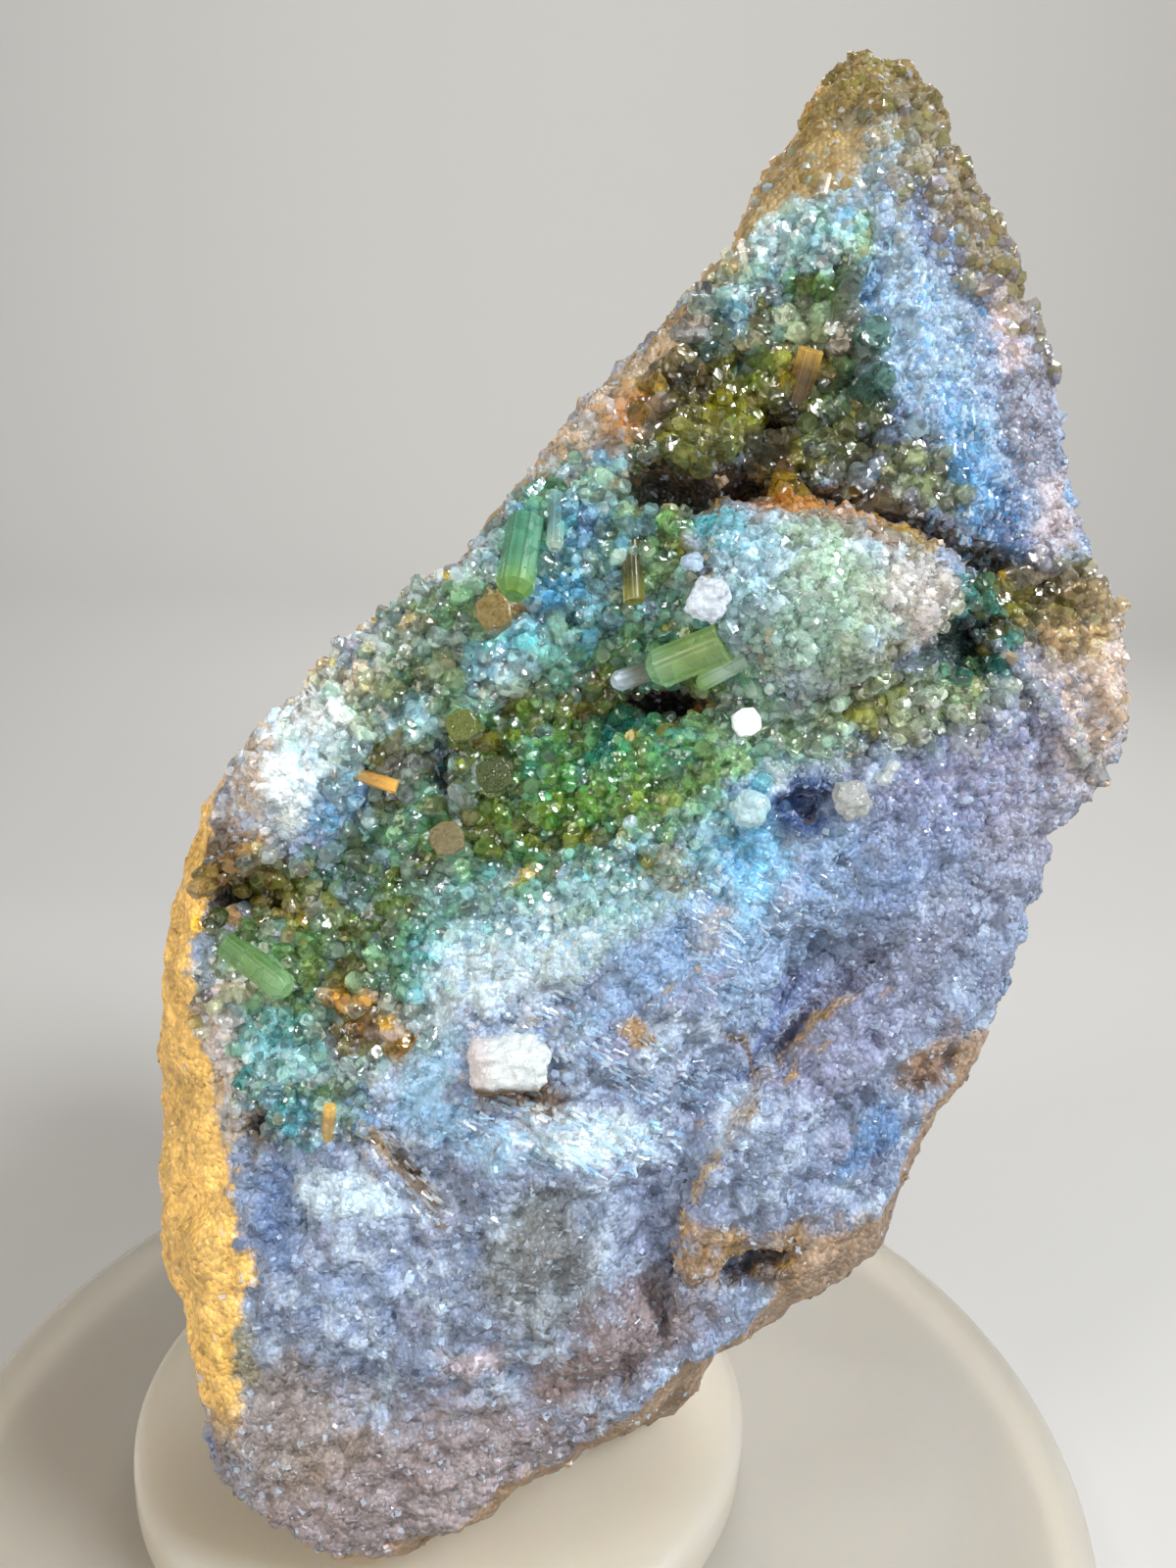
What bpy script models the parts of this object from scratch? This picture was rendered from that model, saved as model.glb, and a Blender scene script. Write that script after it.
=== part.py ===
"""A vesuvianite specimen on a display disc.

A leaf-shaped block of pale matrix rock stands upright and leans back a little. Its front face carries crusts
of small intergrown crystals in shallow hollows, larger prisms that stand clear of them, and a few white
blocks.

The rock's own frame is an empty at its foot, turned back by LEAN: x runs to the right, y goes into the rock
from its front face, and z runs up along the face. Tables of places are in millimetres in that frame.
"""

import math
import random

import bmesh
import bpy
from mathutils import Euler, Matrix, Vector, noise

MM = 0.001
GAP = 0.3 * MM

# The display disc and the thin riser on it
DISC_RADIUS = 46 * MM
DISC_THICKNESS = 8 * MM
DISC_EDGE = 2.5 * MM
RISER_RADIUS = 24 * MM
RISER_THICKNESS = 4.5 * MM
RISER_EDGE = 1.2 * MM
RISER_CENTRE = Vector((-5.5 * MM, -1.5 * MM, DISC_THICKNESS + GAP))
RISER_TOP = RISER_CENTRE.z + RISER_THICKNESS
DISC_SIDES = 40

# The rock stands on the riser, its front face leaning back
ROCK_FOOT = Vector((0.0, -24 * MM, RISER_TOP))
LEAN = math.radians(12)

# The rock's outline, clockwise from the peak: x, z, the depth of the widest line behind the front face, and
# how far the front edge lies inside that line, all in mm
ROCK_OUTLINE = (
    (20.2, 102.2, 7, 1.6),
    (22.6, 100.9, 7, 1.8),
    (24.6, 98.2, 7, 2.0),
    (27.6, 93.2, 7, 2.0),
    (30.2, 89.4, 7, 2.0),
    (33.4, 83.4, 8, 2.0),
    (33.0, 76.0, 8, 2.0),
    (36.6, 71.5, 9, 2.2),
    (39.4, 66.2, 9, 2.4),
    (40.0, 60.5, 9, 2.4),
    (38.8, 56.4, 9, 2.4),
    (35.6, 52.4, 9, 2.2),
    (34.4, 46.6, 9, 2.2),
    (32.2, 38.8, 9, 2.4),
    (28.8, 32.8, 9, 2.6),
    (26.4, 24.8, 9, 3.2),
    (20.0, 20.6, 8, 3.6),
    (14.4, 16.8, 6, 3.4),
    (7.6, 11.2, 5, 2.8),
    (0.8, 6.4, 4, 2.2),
    (-5.0, 1.6, 4, 2.0),
    (-11.5, 2.6, 4, 2.0),
    (-17.0, 5.4, 5, 2.2),
    (-20.2, 10.2, 7, 2.2),
    (-21.8, 13.4, 12, 3.4),
    (-23.4, 16.0, 17, 5.4),
    (-25.4, 21.4, 19, 7.6),
    (-26.4, 28.0, 19, 7.8),
    (-26.4, 35.0, 18, 7.6),
    (-25.8, 41.6, 17, 6.0),
    (-24.0, 47.6, 14, 3.8),
    (-20.8, 53.2, 9, 2.2),
    (-16.6, 58.6, 6, 2.0),
    (-9.2, 65.2, 5, 2.0),
    (-4.9, 70.2, 5, 2.0),
    (0.9, 75.4, 5, 2.0),
    (2.4, 80.6, 5, 2.0),
    (9.8, 87.3, 6, 2.2),
    (12.7, 92.0, 8, 3.0),
    (16.3, 98.2, 8, 2.4),
)
ROCK_CENTRE = Vector((8.0, 0.0, 50.0))
ROCK_THICKNESS = 31.0
PEAK_THINNING = 17.0
FOOT_THINNING = 4.0
THICKEST_AT = 42.0
THINNING_LENGTH = 60.0
ROCK_STATIONS = 96

# Behind the front edge the rock widens downwards into a level foot: how high up this starts, the foot's left
# and right ends below the rock's middle, and how much further apart they are for each mm towards the back
FOOT_HEIGHT = 30.0
FOOT_BLEND = 10.0
FOOT_LEFT = -26.0
FOOT_RIGHT = 20.5
FOOT_SPREAD = 0.9
FOOT_MARGIN = 4.0
FOOT_SUNK = 0.6
ROCK_VOXEL = 3.25 * MM
FRONT_BULGE = 2.2

# The broken surface: the size and the height in mm of its coarse and its finer lumps, and how far it is sunk,
# so that the lumps stay inside the outline
COARSE_LUMPS = (9.0, 0.9)
FINE_LUMPS = (4.6, 0.8)
LUMPS_SUNK = 0.6

# What sinks into (+) or stands out of (-) the front face: x, z, half length, half width, turn in degrees,
# depth and how flat its floor is (1 is a round dish, higher is a flatter floor with steeper sides)
FRONT_RELIEF = (
    (14.8, 80.6, 8.8, 6.4, 72, 3.4, 2),
    (19.4, 76.0, 7.6, 4.4, -18, 2.4, 1),
    (16.6, 73.0, 9.8, 2.6, -14, 2.4, 1),
    (18.0, 66.2, 9.6, 6.0, -8, -3.4, 3),
    (-2.0, 53.0, 20.0, 8.0, 34, 2.8, 2),
    (31.4, 66.0, 5.5, 4.5, 0, 1.8, 1),
    (20.5, 57.8, 8.0, 3.4, 4, 1.4, 1),
    (-17.4, 46.4, 5.0, 3.6, -20, 2.8, 1),
    (9.4, 59.8, 3.6, 2.2, -10, 2.4, 1),
    (-13.6, 54.4, 6.0, 4.0, 30, -1.4, 1),
    (8.0, 29.0, 22.0, 17.0, 40, -2.6, 1),
    (17.0, 38.2, 5.6, 3.0, 45, 1.6, 1),
    (15.4, 24.4, 4.4, 2.8, 30, 2.0, 1),
    (-8.4, 39.2, 4.4, 3.4, 0, 1.4, 1),
)

# Crusts of small crystals: name, then ovals of x, z, half length, half width and turn, the number of larger
# crystals that stand out of the crust, their length and width, and the seed of their scatter
DRUSES = (
    ("druse_upper_hollow", ((14.8, 80.8, 6.8, 4.8, 75), (19.4, 76.2, 6.2, 2.8, -18)), 16, 2.6, 2.0, 11),
    (
        "druse_middle_band",
        ((2.5, 56.4, 13.0, 6.4, 30), (1.6, 66.6, 6.6, 4.2, 55), (-9.6, 57.8, 6.0, 3.2, 38)),
        28, 2.6, 2.0, 5,
    ),
    ("druse_lower_left", ((-12.0, 42.6, 7.0, 4.6, 36),), 12, 2.4, 1.8, 23),
    ("druse_right_edge", ((22.6, 58.0, 7.4, 2.6, 10), (32.2, 65.2, 4.6, 3.4, 20)), 10, 2.4, 1.8, 31),
)
CRUST_TOP = 1.5 * MM
CRUST_REACH = 12 * MM
HALF_SIDE_TURN = math.radians(22.5)

# Single crystals that stand clear: name, then for the rooted and the free end its x, z and height out of the
# face, the width, and the kind of end
PRISMS = (
    ("prism_upper_left", (-0.1, 69.6, 0.5), (-0.5, 65.7, 2.3), 2.4, "pyramid"),
    ("prism_upper_left_companion", (1.8, 71.0, 0.5), (1.8, 68.6, 1.5), 1.1, "pyramid"),
    ("prism_yellow_upright", (6.4, 68.2, 0.5), (6.6, 65.6, 1.6), 1.3, "flat"),
    ("prism_centre", (11.0, 63.0, 1.8), (7.8, 61.6, 2.8), 2.6, "pyramid"),
    ("prism_centre_small_upper", (12.5, 62.0, 1.0), (10.6, 60.9, 2.4), 1.1, "pyramid"),
    ("prism_centre_small_lower", (13.5, 61.3, 0.7), (14.0, 60.3, 1.8), 1.1, "pyramid"),
    ("prism_centre_white", (7.4, 61.6, 0.6), (5.6, 60.9, 1.8), 1.3, "pyramid"),
    ("prism_lower_left", (-17.0, 43.3, 0.6), (-13.5, 41.6, 1.9), 1.9, "pyramid"),
    ("prism_golden_hollow", (16.5, 79.6, 0.7), (16.9, 81.5, 1.8), 1.7, "flat"),
    ("prism_golden_middle", (-9.2, 54.6, 0.6), (-7.4, 54.1, 1.6), 0.9, "flat"),
    ("prism_golden_low", (-10.8, 33.4, 0.5), (-10.6, 34.8, 1.1), 0.8, "flat"),
)

# Broad crystals whose flat ends face the viewer: name, x, z, height out of the face, width and length
END_FACES = (
    ("crystal_brown_upper", -1.5, 64.7, 3.9, 2.4, 2.0),
    ("crystal_brown_lower", -4.2, 51.1, 2.3, 2.4, 2.0),
    ("crystal_white_end", 13.3, 58.8, 3.5, 1.9, 1.8),
    ("crystal_olive_upper", -3.4, 58.0, 2.5, 2.2, 2.0),
    ("crystal_olive_lower", -1.4, 55.1, 2.3, 2.5, 2.0),
)

# White blocks: name, x, z, height out of the face, size across, size up, depth, turn in degrees
BLOCKS = (
    ("white_block_on_pale_rock", 10.6, 65.4, 5.0, 2.2, 2.5, 1.8, 12),
    ("white_block_top", 9.8, 67.6, 3.2, 1.2, 1.0, 1.2, -10),
    ("white_block_under_left", 14.2, 53.6, 1.5, 1.9, 2.0, 1.4, 20),
    ("white_block_under_right", 20.0, 54.4, 1.5, 2.0, 2.2, 1.4, -15),
    ("white_block_right", 22.3, 56.2, 1.7, 0.9, 1.7, 1.2, 30),
    ("white_block_low", 0.2, 38.2, 2.9, 4.6, 3.3, 2.2, -6),
)

# Colour, roughness and how much light passes through
FINISHES = {
    "matrix": ((0.46, 0.53, 0.62), 0.75, 0.0),
    "green_crystal": ((0.16, 0.36, 0.14), 0.12, 0.7),
    "pale_crystal": ((0.70, 0.80, 0.74), 0.15, 0.6),
    "golden_crystal": ((0.62, 0.36, 0.07), 0.12, 0.6),
    "brown_crystal": ((0.30, 0.20, 0.08), 0.2, 0.3),
    "white_block": ((0.82, 0.85, 0.86), 0.45, 0.1),
    "frosted_disc": ((0.86, 0.80, 0.70), 0.4, 0.6),
}


def finish(name):
    """The named finish as a material, made on its first use."""
    if name in bpy.data.materials:
        return bpy.data.materials[name]
    colour, roughness, transmission = FINISHES[name]
    material = bpy.data.materials.new(name)
    material.use_nodes = True
    shader = material.node_tree.nodes["Principled BSDF"]
    shader.inputs["Base Color"].default_value = (*colour, 1.0)
    shader.inputs["Roughness"].default_value = roughness
    shader.inputs["Transmission Weight"].default_value = transmission
    shader.inputs["IOR"].default_value = 1.7
    return material


def new_object(name, bm, parent=None, material=None):
    """The bmesh as an object under its parent, its faces pointing out."""
    bmesh.ops.recalc_face_normals(bm, faces=bm.faces)
    if bm.calc_volume(signed=True) < 0:
        bmesh.ops.reverse_faces(bm, faces=bm.faces)
    mesh = bpy.data.meshes.new(name)
    bm.to_mesh(mesh)
    bm.free()
    obj = bpy.data.objects.new(name, mesh)
    bpy.context.collection.objects.link(obj)
    obj.parent = parent
    if material:
        mesh.materials.append(finish(material))
    return obj


def hide(obj):
    """Marks a cutter or a guide."""
    obj.hide_render = True
    obj.display_type = "WIRE"
    return obj


def combine(obj, other, operation):
    """Joins another shape to this one, or takes it away. All the shapes are closed, and the exact solver
    loses whole pieces of a crust among its many small cuts."""
    modifier = obj.modifiers.new(operation.title(), "BOOLEAN")
    modifier.operation = operation
    modifier.solver = "MANIFOLD"
    modifier.object = other


def settle(obj):
    """Replaces the object's mesh by the result of its modifiers."""
    bpy.context.view_layer.update()
    result = obj.evaluated_get(bpy.context.evaluated_depsgraph_get())
    mesh = bpy.data.meshes.new_from_object(result)
    obj.modifiers.clear()
    old = obj.data
    obj.data = mesh
    mesh.name = obj.name
    bpy.data.meshes.remove(old)


def discard(*objects):
    """Removes cutters that have done their work."""
    for obj in objects:
        mesh = obj.data
        bpy.data.objects.remove(obj)
        bpy.data.meshes.remove(mesh)


def oval_fraction(x, z, oval):
    """How far (x, z) is from an oval's middle: 0 there and 1 on its edge."""
    centre_x, centre_z, half_length, half_width, turn = oval
    angle = math.radians(turn)
    dx = x - centre_x
    dz = z - centre_z
    along = dx * math.cos(angle) + dz * math.sin(angle)
    across = dz * math.cos(angle) - dx * math.sin(angle)
    return math.hypot(along / half_length, across / half_width)


def front_relief(x, z):
    """Depth in mm of the front face's relief at (x, z), also in mm."""
    depth = 0.0
    for feature in FRONT_RELIEF:
        fraction = oval_fraction(x, z, feature[:5])
        if fraction < 1.0:
            height, flatness = feature[5:]
            depth += height * (1.0 - fraction ** (2 * flatness)) ** 2
    return depth


def rock_thickness(z):
    """Depth in mm of the back face behind the front one, at height z."""
    thinning = PEAK_THINNING if z > THICKEST_AT else FOOT_THINNING
    return ROCK_THICKNESS - thinning * ((z - THICKEST_AT) / THINNING_LENGTH) ** 2


def limited(value):
    """The value, kept between 0 and 1."""
    return min(max(value, 0.0), 1.0)


def settled(x, y, z):
    """The height of a point behind the front edge, brought down to the level foot under the rock's middle."""
    level = y * math.tan(LEAN) - FOOT_SUNK
    back = ROCK_FOOT.y / MM + y * math.cos(LEAN) + z * math.sin(LEAN)
    inside = min(x - FOOT_LEFT + FOOT_SPREAD * back, FOOT_RIGHT + FOOT_SPREAD * back - x)
    share = limited(inside / FOOT_MARGIN) * limited((FOOT_HEIGHT - z) / FOOT_BLEND)
    return z + (level - z) * share


def resample(outline, count):
    """Points at even steps along a closed outline, each with its other values blended."""
    closed = [*outline, outline[0]]
    lengths = [math.hypot(b[0] - a[0], b[1] - a[1]) for a, b in zip(closed, closed[1:])]
    step = sum(lengths) / count
    points = []
    index = 0
    passed = 0.0
    for i in range(count):
        while passed + lengths[index] < i * step:
            passed += lengths[index]
            index += 1
        share = (i * step - passed) / lengths[index]
        points.append([a + (b - a) * share for a, b in zip(closed[index], closed[index + 1])])
    return points


def rock_loops():
    """Rings of points from the middle of the front face, over the rim, to the middle of the back."""
    outline = resample(ROCK_OUTLINE, ROCK_STATIONS)
    loops = []
    for fraction in (0.3, 0.6, 0.85):
        loops.append([(fraction, 1.0, FRONT_BULGE * (fraction**3 - 1), None) for _ in outline])
    for turn in (0, 30, 60, 90):
        angle = math.radians(turn)
        loops.append([(1.0, 1 - math.sin(angle), None, 1 - math.cos(angle)) for _ in outline])
    rings = []
    for loop in loops:
        ring = []
        for (fraction, inset_share, depth, rim_share), (x, z, rim_depth, inset) in zip(loop, outline):
            to_centre = Vector((ROCK_CENTRE.x - x, ROCK_CENTRE.z - z))
            inward = to_centre.normalized() * inset * inset_share
            edge = Vector((x + inward.x, z + inward.y))
            centre = Vector((ROCK_CENTRE.x, ROCK_CENTRE.z))
            place = centre + (edge - centre) * fraction
            y = rim_depth * rim_share if depth is None else depth
            ring.append((place.x, y, place.y))
        rings.append(ring)
    for shrink, share in ((0.97, 0.45), (0.88, 0.8), (0.7, 0.95), (0.4, 1.0)):
        ring = []
        for x, z, rim_depth, _ in outline:
            place = ROCK_CENTRE + Vector((x - ROCK_CENTRE.x, 0, z - ROCK_CENTRE.z)) * shrink
            back = max(rock_thickness(place.z), rim_depth + 4)
            y = rim_depth + (back - rim_depth) * share
            ring.append((place.x, y, settled(place.x, y, place.z)))
        rings.append(ring)
    return rings


def skin_rings(bm, rings):
    """Quads between neighbouring rings, and a face over each end."""
    rows = [[bm.verts.new(Vector(point) * MM) for point in ring] for ring in rings]
    for near, far in zip(rows, rows[1:]):
        for i in range(len(near)):
            j = (i + 1) % len(near)
            bm.faces.new((near[i], near[j], far[j], far[i]))
    bmesh.ops.triangulate(bm, faces=[bm.faces.new(rows[0]), bm.faces.new(rows[-1])])


def build_rock(frame):
    """The matrix: a lofted block, evened out, then given its front relief and broken surface."""
    bm = bmesh.new()
    skin_rings(bm, rock_loops())
    rock = new_object("matrix_rock", bm, frame, "matrix")
    even = rock.modifiers.new("Even faces", "REMESH")
    even.mode = "VOXEL"
    even.voxel_size = ROCK_VOXEL
    settle(rock)
    rock.data.materials.clear()
    rock.data.materials.append(finish("matrix"))

    bm = bmesh.new()
    bm.from_mesh(rock.data)
    bm.normal_update()
    for vert in bm.verts:
        place = vert.co / MM
        facing = max(0.0, -vert.normal.y)
        broken = sum(height * noise.noise(place / size) for size, height in (COARSE_LUMPS, FINE_LUMPS))
        vert.co += vert.normal * (broken - LUMPS_SUNK) * MM
        vert.co.y += front_relief(place.x, place.z) * facing**0.7 * MM
    bmesh.ops.triangulate(bm, faces=bm.faces)
    bm.to_mesh(rock.data)
    bm.free()
    return rock


def cut_foot(rock, frame):
    """Cuts the rock level, a little above the riser, so that it stands on a broken face."""
    to_frame = frame.matrix_world.inverted()
    point = to_frame @ Vector((0, 0, RISER_TOP + GAP))
    level = to_frame.to_3x3() @ Vector((0, 0, 1))
    bm = bmesh.new()
    bm.from_mesh(rock.data)
    geometry = [*bm.verts, *bm.edges, *bm.faces]
    cut = bmesh.ops.bisect_plane(bm, geom=geometry, plane_co=point, plane_no=level, clear_inner=True)
    rim = [item for item in cut["geom_cut"] if isinstance(item, bmesh.types.BMEdge)]
    bmesh.ops.triangle_fill(bm, use_beauty=True, edges=rim)
    bmesh.ops.recalc_face_normals(bm, faces=bm.faces)
    bm.to_mesh(rock.data)
    bm.free()


def inflated(obj, by, name):
    """A hidden copy of the object, pushed out along its normals."""
    bm = bmesh.new()
    bm.from_mesh(obj.data)
    bm.normal_update()
    offsets = [vert.normal * by * min(vert.calc_shell_factor(), 1.6) for vert in bm.verts]
    for vert, offset in zip(bm.verts, offsets):
        vert.co += offset
    return hide(new_object(name, bm, obj.parent))


def crystal(bm, matrix, width, length, sides=8, end="pyramid"):
    """A tetragonal prism along +Z from the origin, with a bevelled or a flat end."""
    tip = 0.28 * width if end == "pyramid" else 0.06 * width
    cap = 0.5 if end == "pyramid" else 0.88
    levels = ((0.0, 0.9), (length - tip, 1.0), (length, cap))
    rings = []
    for height, scale in levels:
        ring = []
        for i in range(sides):
            angle = 2 * math.pi * i / sides
            corner = 1.0 if i % 2 else 0.9
            radius = width / 2 * scale * corner
            place = Vector((radius * math.cos(angle), radius * math.sin(angle), height))
            ring.append(bm.verts.new(matrix @ place))
        rings.append(ring)
    for near, far in zip(rings, rings[1:]):
        for i in range(sides):
            j = (i + 1) % sides
            bm.faces.new((near[i], near[j], far[j], far[i]))
    bm.faces.new(reversed(rings[0]))
    bm.faces.new(rings[-1])


def aim(start, direction, roll=0.0):
    """A matrix that puts +Z along a direction from a point."""
    turn = direction.to_track_quat("Z", "Y").to_matrix().to_4x4()
    return Matrix.Translation(start) @ turn @ Matrix.Rotation(roll, 4, "Z")


def front_surface(rock, x, z):
    """The point of the rock's front at (x, z) in mm, and its normal."""
    start = Vector((x * MM, -40 * MM, z * MM))
    hit, place, normal, _ = rock.ray_cast(start, Vector((0, 1, 0)))
    if not hit:
        raise ValueError(f"the rock has no front at {x}, {z}")
    return place, normal


def oval_column(name, ovals, frame):
    """A hidden column through the front, with the ovals' joined outline."""
    columns = []
    for centre_x, centre_z, half_length, half_width, turn in ovals:
        bm = bmesh.new()
        shape = (
            Matrix.Translation(Vector((centre_x, 0, centre_z)) * MM)
            @ Matrix.Rotation(-math.radians(turn), 4, "Y")
            @ Matrix.Diagonal((half_length * MM, 1, half_width * MM, 1))
            @ Matrix.Rotation(math.pi / 2, 4, "X")
        )
        bmesh.ops.create_cone(
            bm, cap_ends=True, segments=22, radius1=1, radius2=1, depth=2 * CRUST_REACH, matrix=shape
        )
        for vert in bm.verts:
            ripple = 1 + 0.16 * noise.noise(Vector((vert.co.x, 0, vert.co.z)) / MM / 2.3)
            middle = Vector((centre_x * MM, vert.co.y, centre_z * MM))
            vert.co = middle + (vert.co - middle) * ripple
        columns.append(hide(new_object(f"{name}_column", bm, frame)))
    for other in columns[1:]:
        combine(columns[0], other, "UNION")
    settle(columns[0])
    discard(*columns[1:])
    return columns[0]


def scatter(ovals, count, spacing, seed):
    """Places inside the ovals, none nearer than the spacing, in a fixed random order."""
    chance = random.Random(seed)
    places = []
    while len(places) < count:
        oval = chance.choice(ovals)
        reach = max(oval[2], oval[3])
        x = oval[0] + chance.uniform(-reach, reach)
        z = oval[1] + chance.uniform(-reach, reach)
        if oval_fraction(x, z, oval) > 0.84:
            continue
        if all(math.hypot(x - a, z - b) > spacing for a, b in places):
            places.append((x, z))
        spacing *= 0.998
    return places


def size_of_body(verts):
    """The length of the diagonal of the points' bounding box."""
    corners = [[function(vert.co[axis] for vert in verts) for axis in range(3)] for function in (min, max)]
    return (Vector(corners[1]) - Vector(corners[0])).length


def keep_largest_body(obj):
    """Drops chips that a cut left loose."""
    bm = bmesh.new()
    bm.from_mesh(obj.data)
    bodies = []
    unseen = set(bm.verts)
    while unseen:
        body = set()
        stack = [unseen.pop()]
        while stack:
            vert = stack.pop()
            body.add(vert)
            for edge in vert.link_edges:
                other = edge.other_vert(vert)
                if other in unseen:
                    unseen.discard(other)
                    stack.append(other)
        bodies.append(body)
    bodies.sort(key=size_of_body)
    bmesh.ops.delete(bm, geom=[vert for body in bodies[:-1] for vert in body], context="VERTS")
    bm.to_mesh(obj.data)
    bm.free()


def build_druse(rock, frame, clearance, spaces, name, ovals, count, length, width, seed):
    """A crust that follows the rock, with crystals grown out of it, all one solid."""
    chance = random.Random(seed)
    crust = inflated(rock, CRUST_TOP, name)
    crust.hide_render = False
    crust.display_type = "TEXTURED"
    crust.data.materials.append(finish("green_crystal"))
    column = oval_column(name, ovals, frame)
    combine(crust, column, "INTERSECT")
    settle(crust)

    crystals = []
    for x, z in scatter(ovals, count, 1.05 * width, seed):
        place, normal = front_surface(rock, x, z)
        tilt = Euler((chance.uniform(-0.5, 0.5), 0.0, chance.uniform(-0.5, 0.5))).to_matrix()
        size = chance.uniform(0.8, 1.2)
        matrix = aim(place, tilt @ normal, chance.uniform(0, math.pi))
        bm = bmesh.new()
        crystal(bm, matrix, width * size * MM, length * size * MM, chance.choice((4, 4, 8)))
        crystals.append(hide(new_object(f"{name}_crystal", bm, frame)))
        combine(crust, crystals[-1], "UNION")
    settle(crust)

    for neighbour in (clearance, *spaces):
        combine(crust, neighbour, "DIFFERENCE")
    settle(crust)
    keep_largest_body(crust)
    discard(column, *crystals)


def standing_point(rock, x, z, out):
    """A point that far in front of the rock's surface at (x, z), all in mm."""
    place, _ = front_surface(rock, x, z)
    return Vector((x * MM, place.y - out * MM, z * MM))


def build_single(name, frame, matrix, width, length, end, material):
    """A single crystal, and the wider hidden space that the crust keeps free for it."""
    bm = bmesh.new()
    crystal(bm, Matrix(), width, length, 8, end)
    single = new_object(name, bm, frame, material)
    single.matrix_local = matrix
    wider = width / 2 + 1.4 * GAP
    longer = length + 2 * GAP
    bm = bmesh.new()
    bmesh.ops.create_cone(bm, cap_ends=True, segments=8, radius1=wider, radius2=wider, depth=longer)
    for vert in bm.verts:
        vert.co = matrix @ (vert.co + Vector((0, 0, length / 2)))
    return hide(new_object(f"{name}_space", bm, frame))


def build_prisms(rock, frame):
    """The larger striated prisms, each from its rooted end to its free end."""
    spaces = []
    for name, root, tip, width, end in PRISMS:
        start = standing_point(rock, root[0], root[1], root[2])
        stop = standing_point(rock, tip[0], tip[1], tip[2])
        material = "green_crystal"
        if "golden" in name or "yellow" in name:
            material = "golden_crystal"
        elif "white" in name or "companion" in name:
            material = "pale_crystal"
        matrix = aim(start, stop - start, HALF_SIDE_TURN)
        spaces.append(build_single(name, frame, matrix, width * MM, (stop - start).length, end, material))
    return spaces


def build_end_faces(rock, frame):
    """Short crystals that point at the viewer."""
    spaces = []
    for name, x, z, out, width, length in END_FACES:
        _, normal = front_surface(rock, x, z)
        outward = (normal + Vector((0, -1.5, 0.2))).normalized()
        top = standing_point(rock, x, z, out)
        colour = name.split("_")[1]
        material = {"brown": "brown_crystal", "white": "pale_crystal"}.get(colour, "green_crystal")
        matrix = aim(top - outward * length * MM, outward, HALF_SIDE_TURN)
        spaces.append(build_single(name, frame, matrix, width * MM, length * MM, "flat", material))
    return spaces


def cut_cube(size, bevel, matrix):
    """A box of this size about the origin with its corners and edges cut, then moved by the matrix."""
    bm = bmesh.new()
    bmesh.ops.create_cube(bm, size=1, matrix=Matrix.Diagonal((*size, 1)))
    bmesh.ops.bevel(bm, geom=bm.edges, offset=bevel, segments=1, affect="EDGES")
    bmesh.ops.transform(bm, matrix=matrix, verts=bm.verts)
    return bm


def build_blocks(rock, frame):
    """White blocks with cut corners."""
    spaces = []
    for name, x, z, out, across, up, depth, turn in BLOCKS:
        size = Vector((across, depth, up)) * MM
        bevel = 0.2 * min(across, up) * MM
        centre = standing_point(rock, x, z, out - depth / 2)
        matrix = Matrix.Translation(centre) @ Matrix.Rotation(math.radians(turn), 4, "Y")
        block = new_object(name, cut_cube(size, bevel, Matrix()), frame, "white_block")
        block.matrix_local = matrix
        wider = size + Vector((2, 2, 2)) * GAP
        spaces.append(hide(new_object(f"{name}_space", cut_cube(wider, bevel, matrix), frame)))
    return spaces


def turned_disc(name, radius, thickness, edge):
    """A disc with rounded edges, turned about its axis, its underside at z 0."""
    profile = [(0.0, 0.0)]
    for centre_z, start in ((edge, -90), (thickness - edge, 0)):
        for step in range(3):
            angle = math.radians(start + 45 * step)
            profile.append((radius - edge + edge * math.cos(angle), centre_z + edge * math.sin(angle)))
    profile.append((0.0, thickness))
    bm = bmesh.new()
    verts = [bm.verts.new((r, 0, z)) for r, z in profile]
    edges = [bm.edges.new(pair) for pair in zip(verts, verts[1:])]
    bmesh.ops.spin(
        bm, geom=[*verts, *edges], cent=(0, 0, 0), axis=(0, 0, 1), angle=2 * math.pi, steps=DISC_SIDES,
        use_merge=True,
    )
    bmesh.ops.remove_doubles(bm, verts=bm.verts, dist=1e-6)
    disc = new_object(name, bm, None, "frosted_disc")
    disc.data.shade_smooth()
    disc.data.set_sharp_from_angle(angle=math.radians(35))
    return disc


def main():
    for obj in list(bpy.data.objects):
        bpy.data.objects.remove(obj, do_unlink=True)

    turned_disc("display_disc", DISC_RADIUS, DISC_THICKNESS, DISC_EDGE)
    riser = turned_disc("riser_disc", RISER_RADIUS, RISER_THICKNESS, RISER_EDGE)
    riser.location = RISER_CENTRE

    frame = bpy.data.objects.new("rock_frame", None)
    bpy.context.collection.objects.link(frame)
    frame.location = ROCK_FOOT
    frame.rotation_euler = (-LEAN, 0.0, 0.0)
    bpy.context.view_layer.update()

    rock = build_rock(frame)
    cut_foot(rock, frame)
    clearance = inflated(rock, GAP, "rock_clearance")
    spaces = build_prisms(rock, frame) + build_end_faces(rock, frame) + build_blocks(rock, frame)
    for name in [entry[0] for entry in (*PRISMS, *END_FACES, *BLOCKS)]:
        single = bpy.data.objects[name]
        combine(single, clearance, "DIFFERENCE")
        settle(single)
        keep_largest_body(single)
    for druse in DRUSES:
        build_druse(rock, frame, clearance, spaces, *druse)
    discard(clearance, *spaces)


if __name__ == "__main__":
    main()
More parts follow.
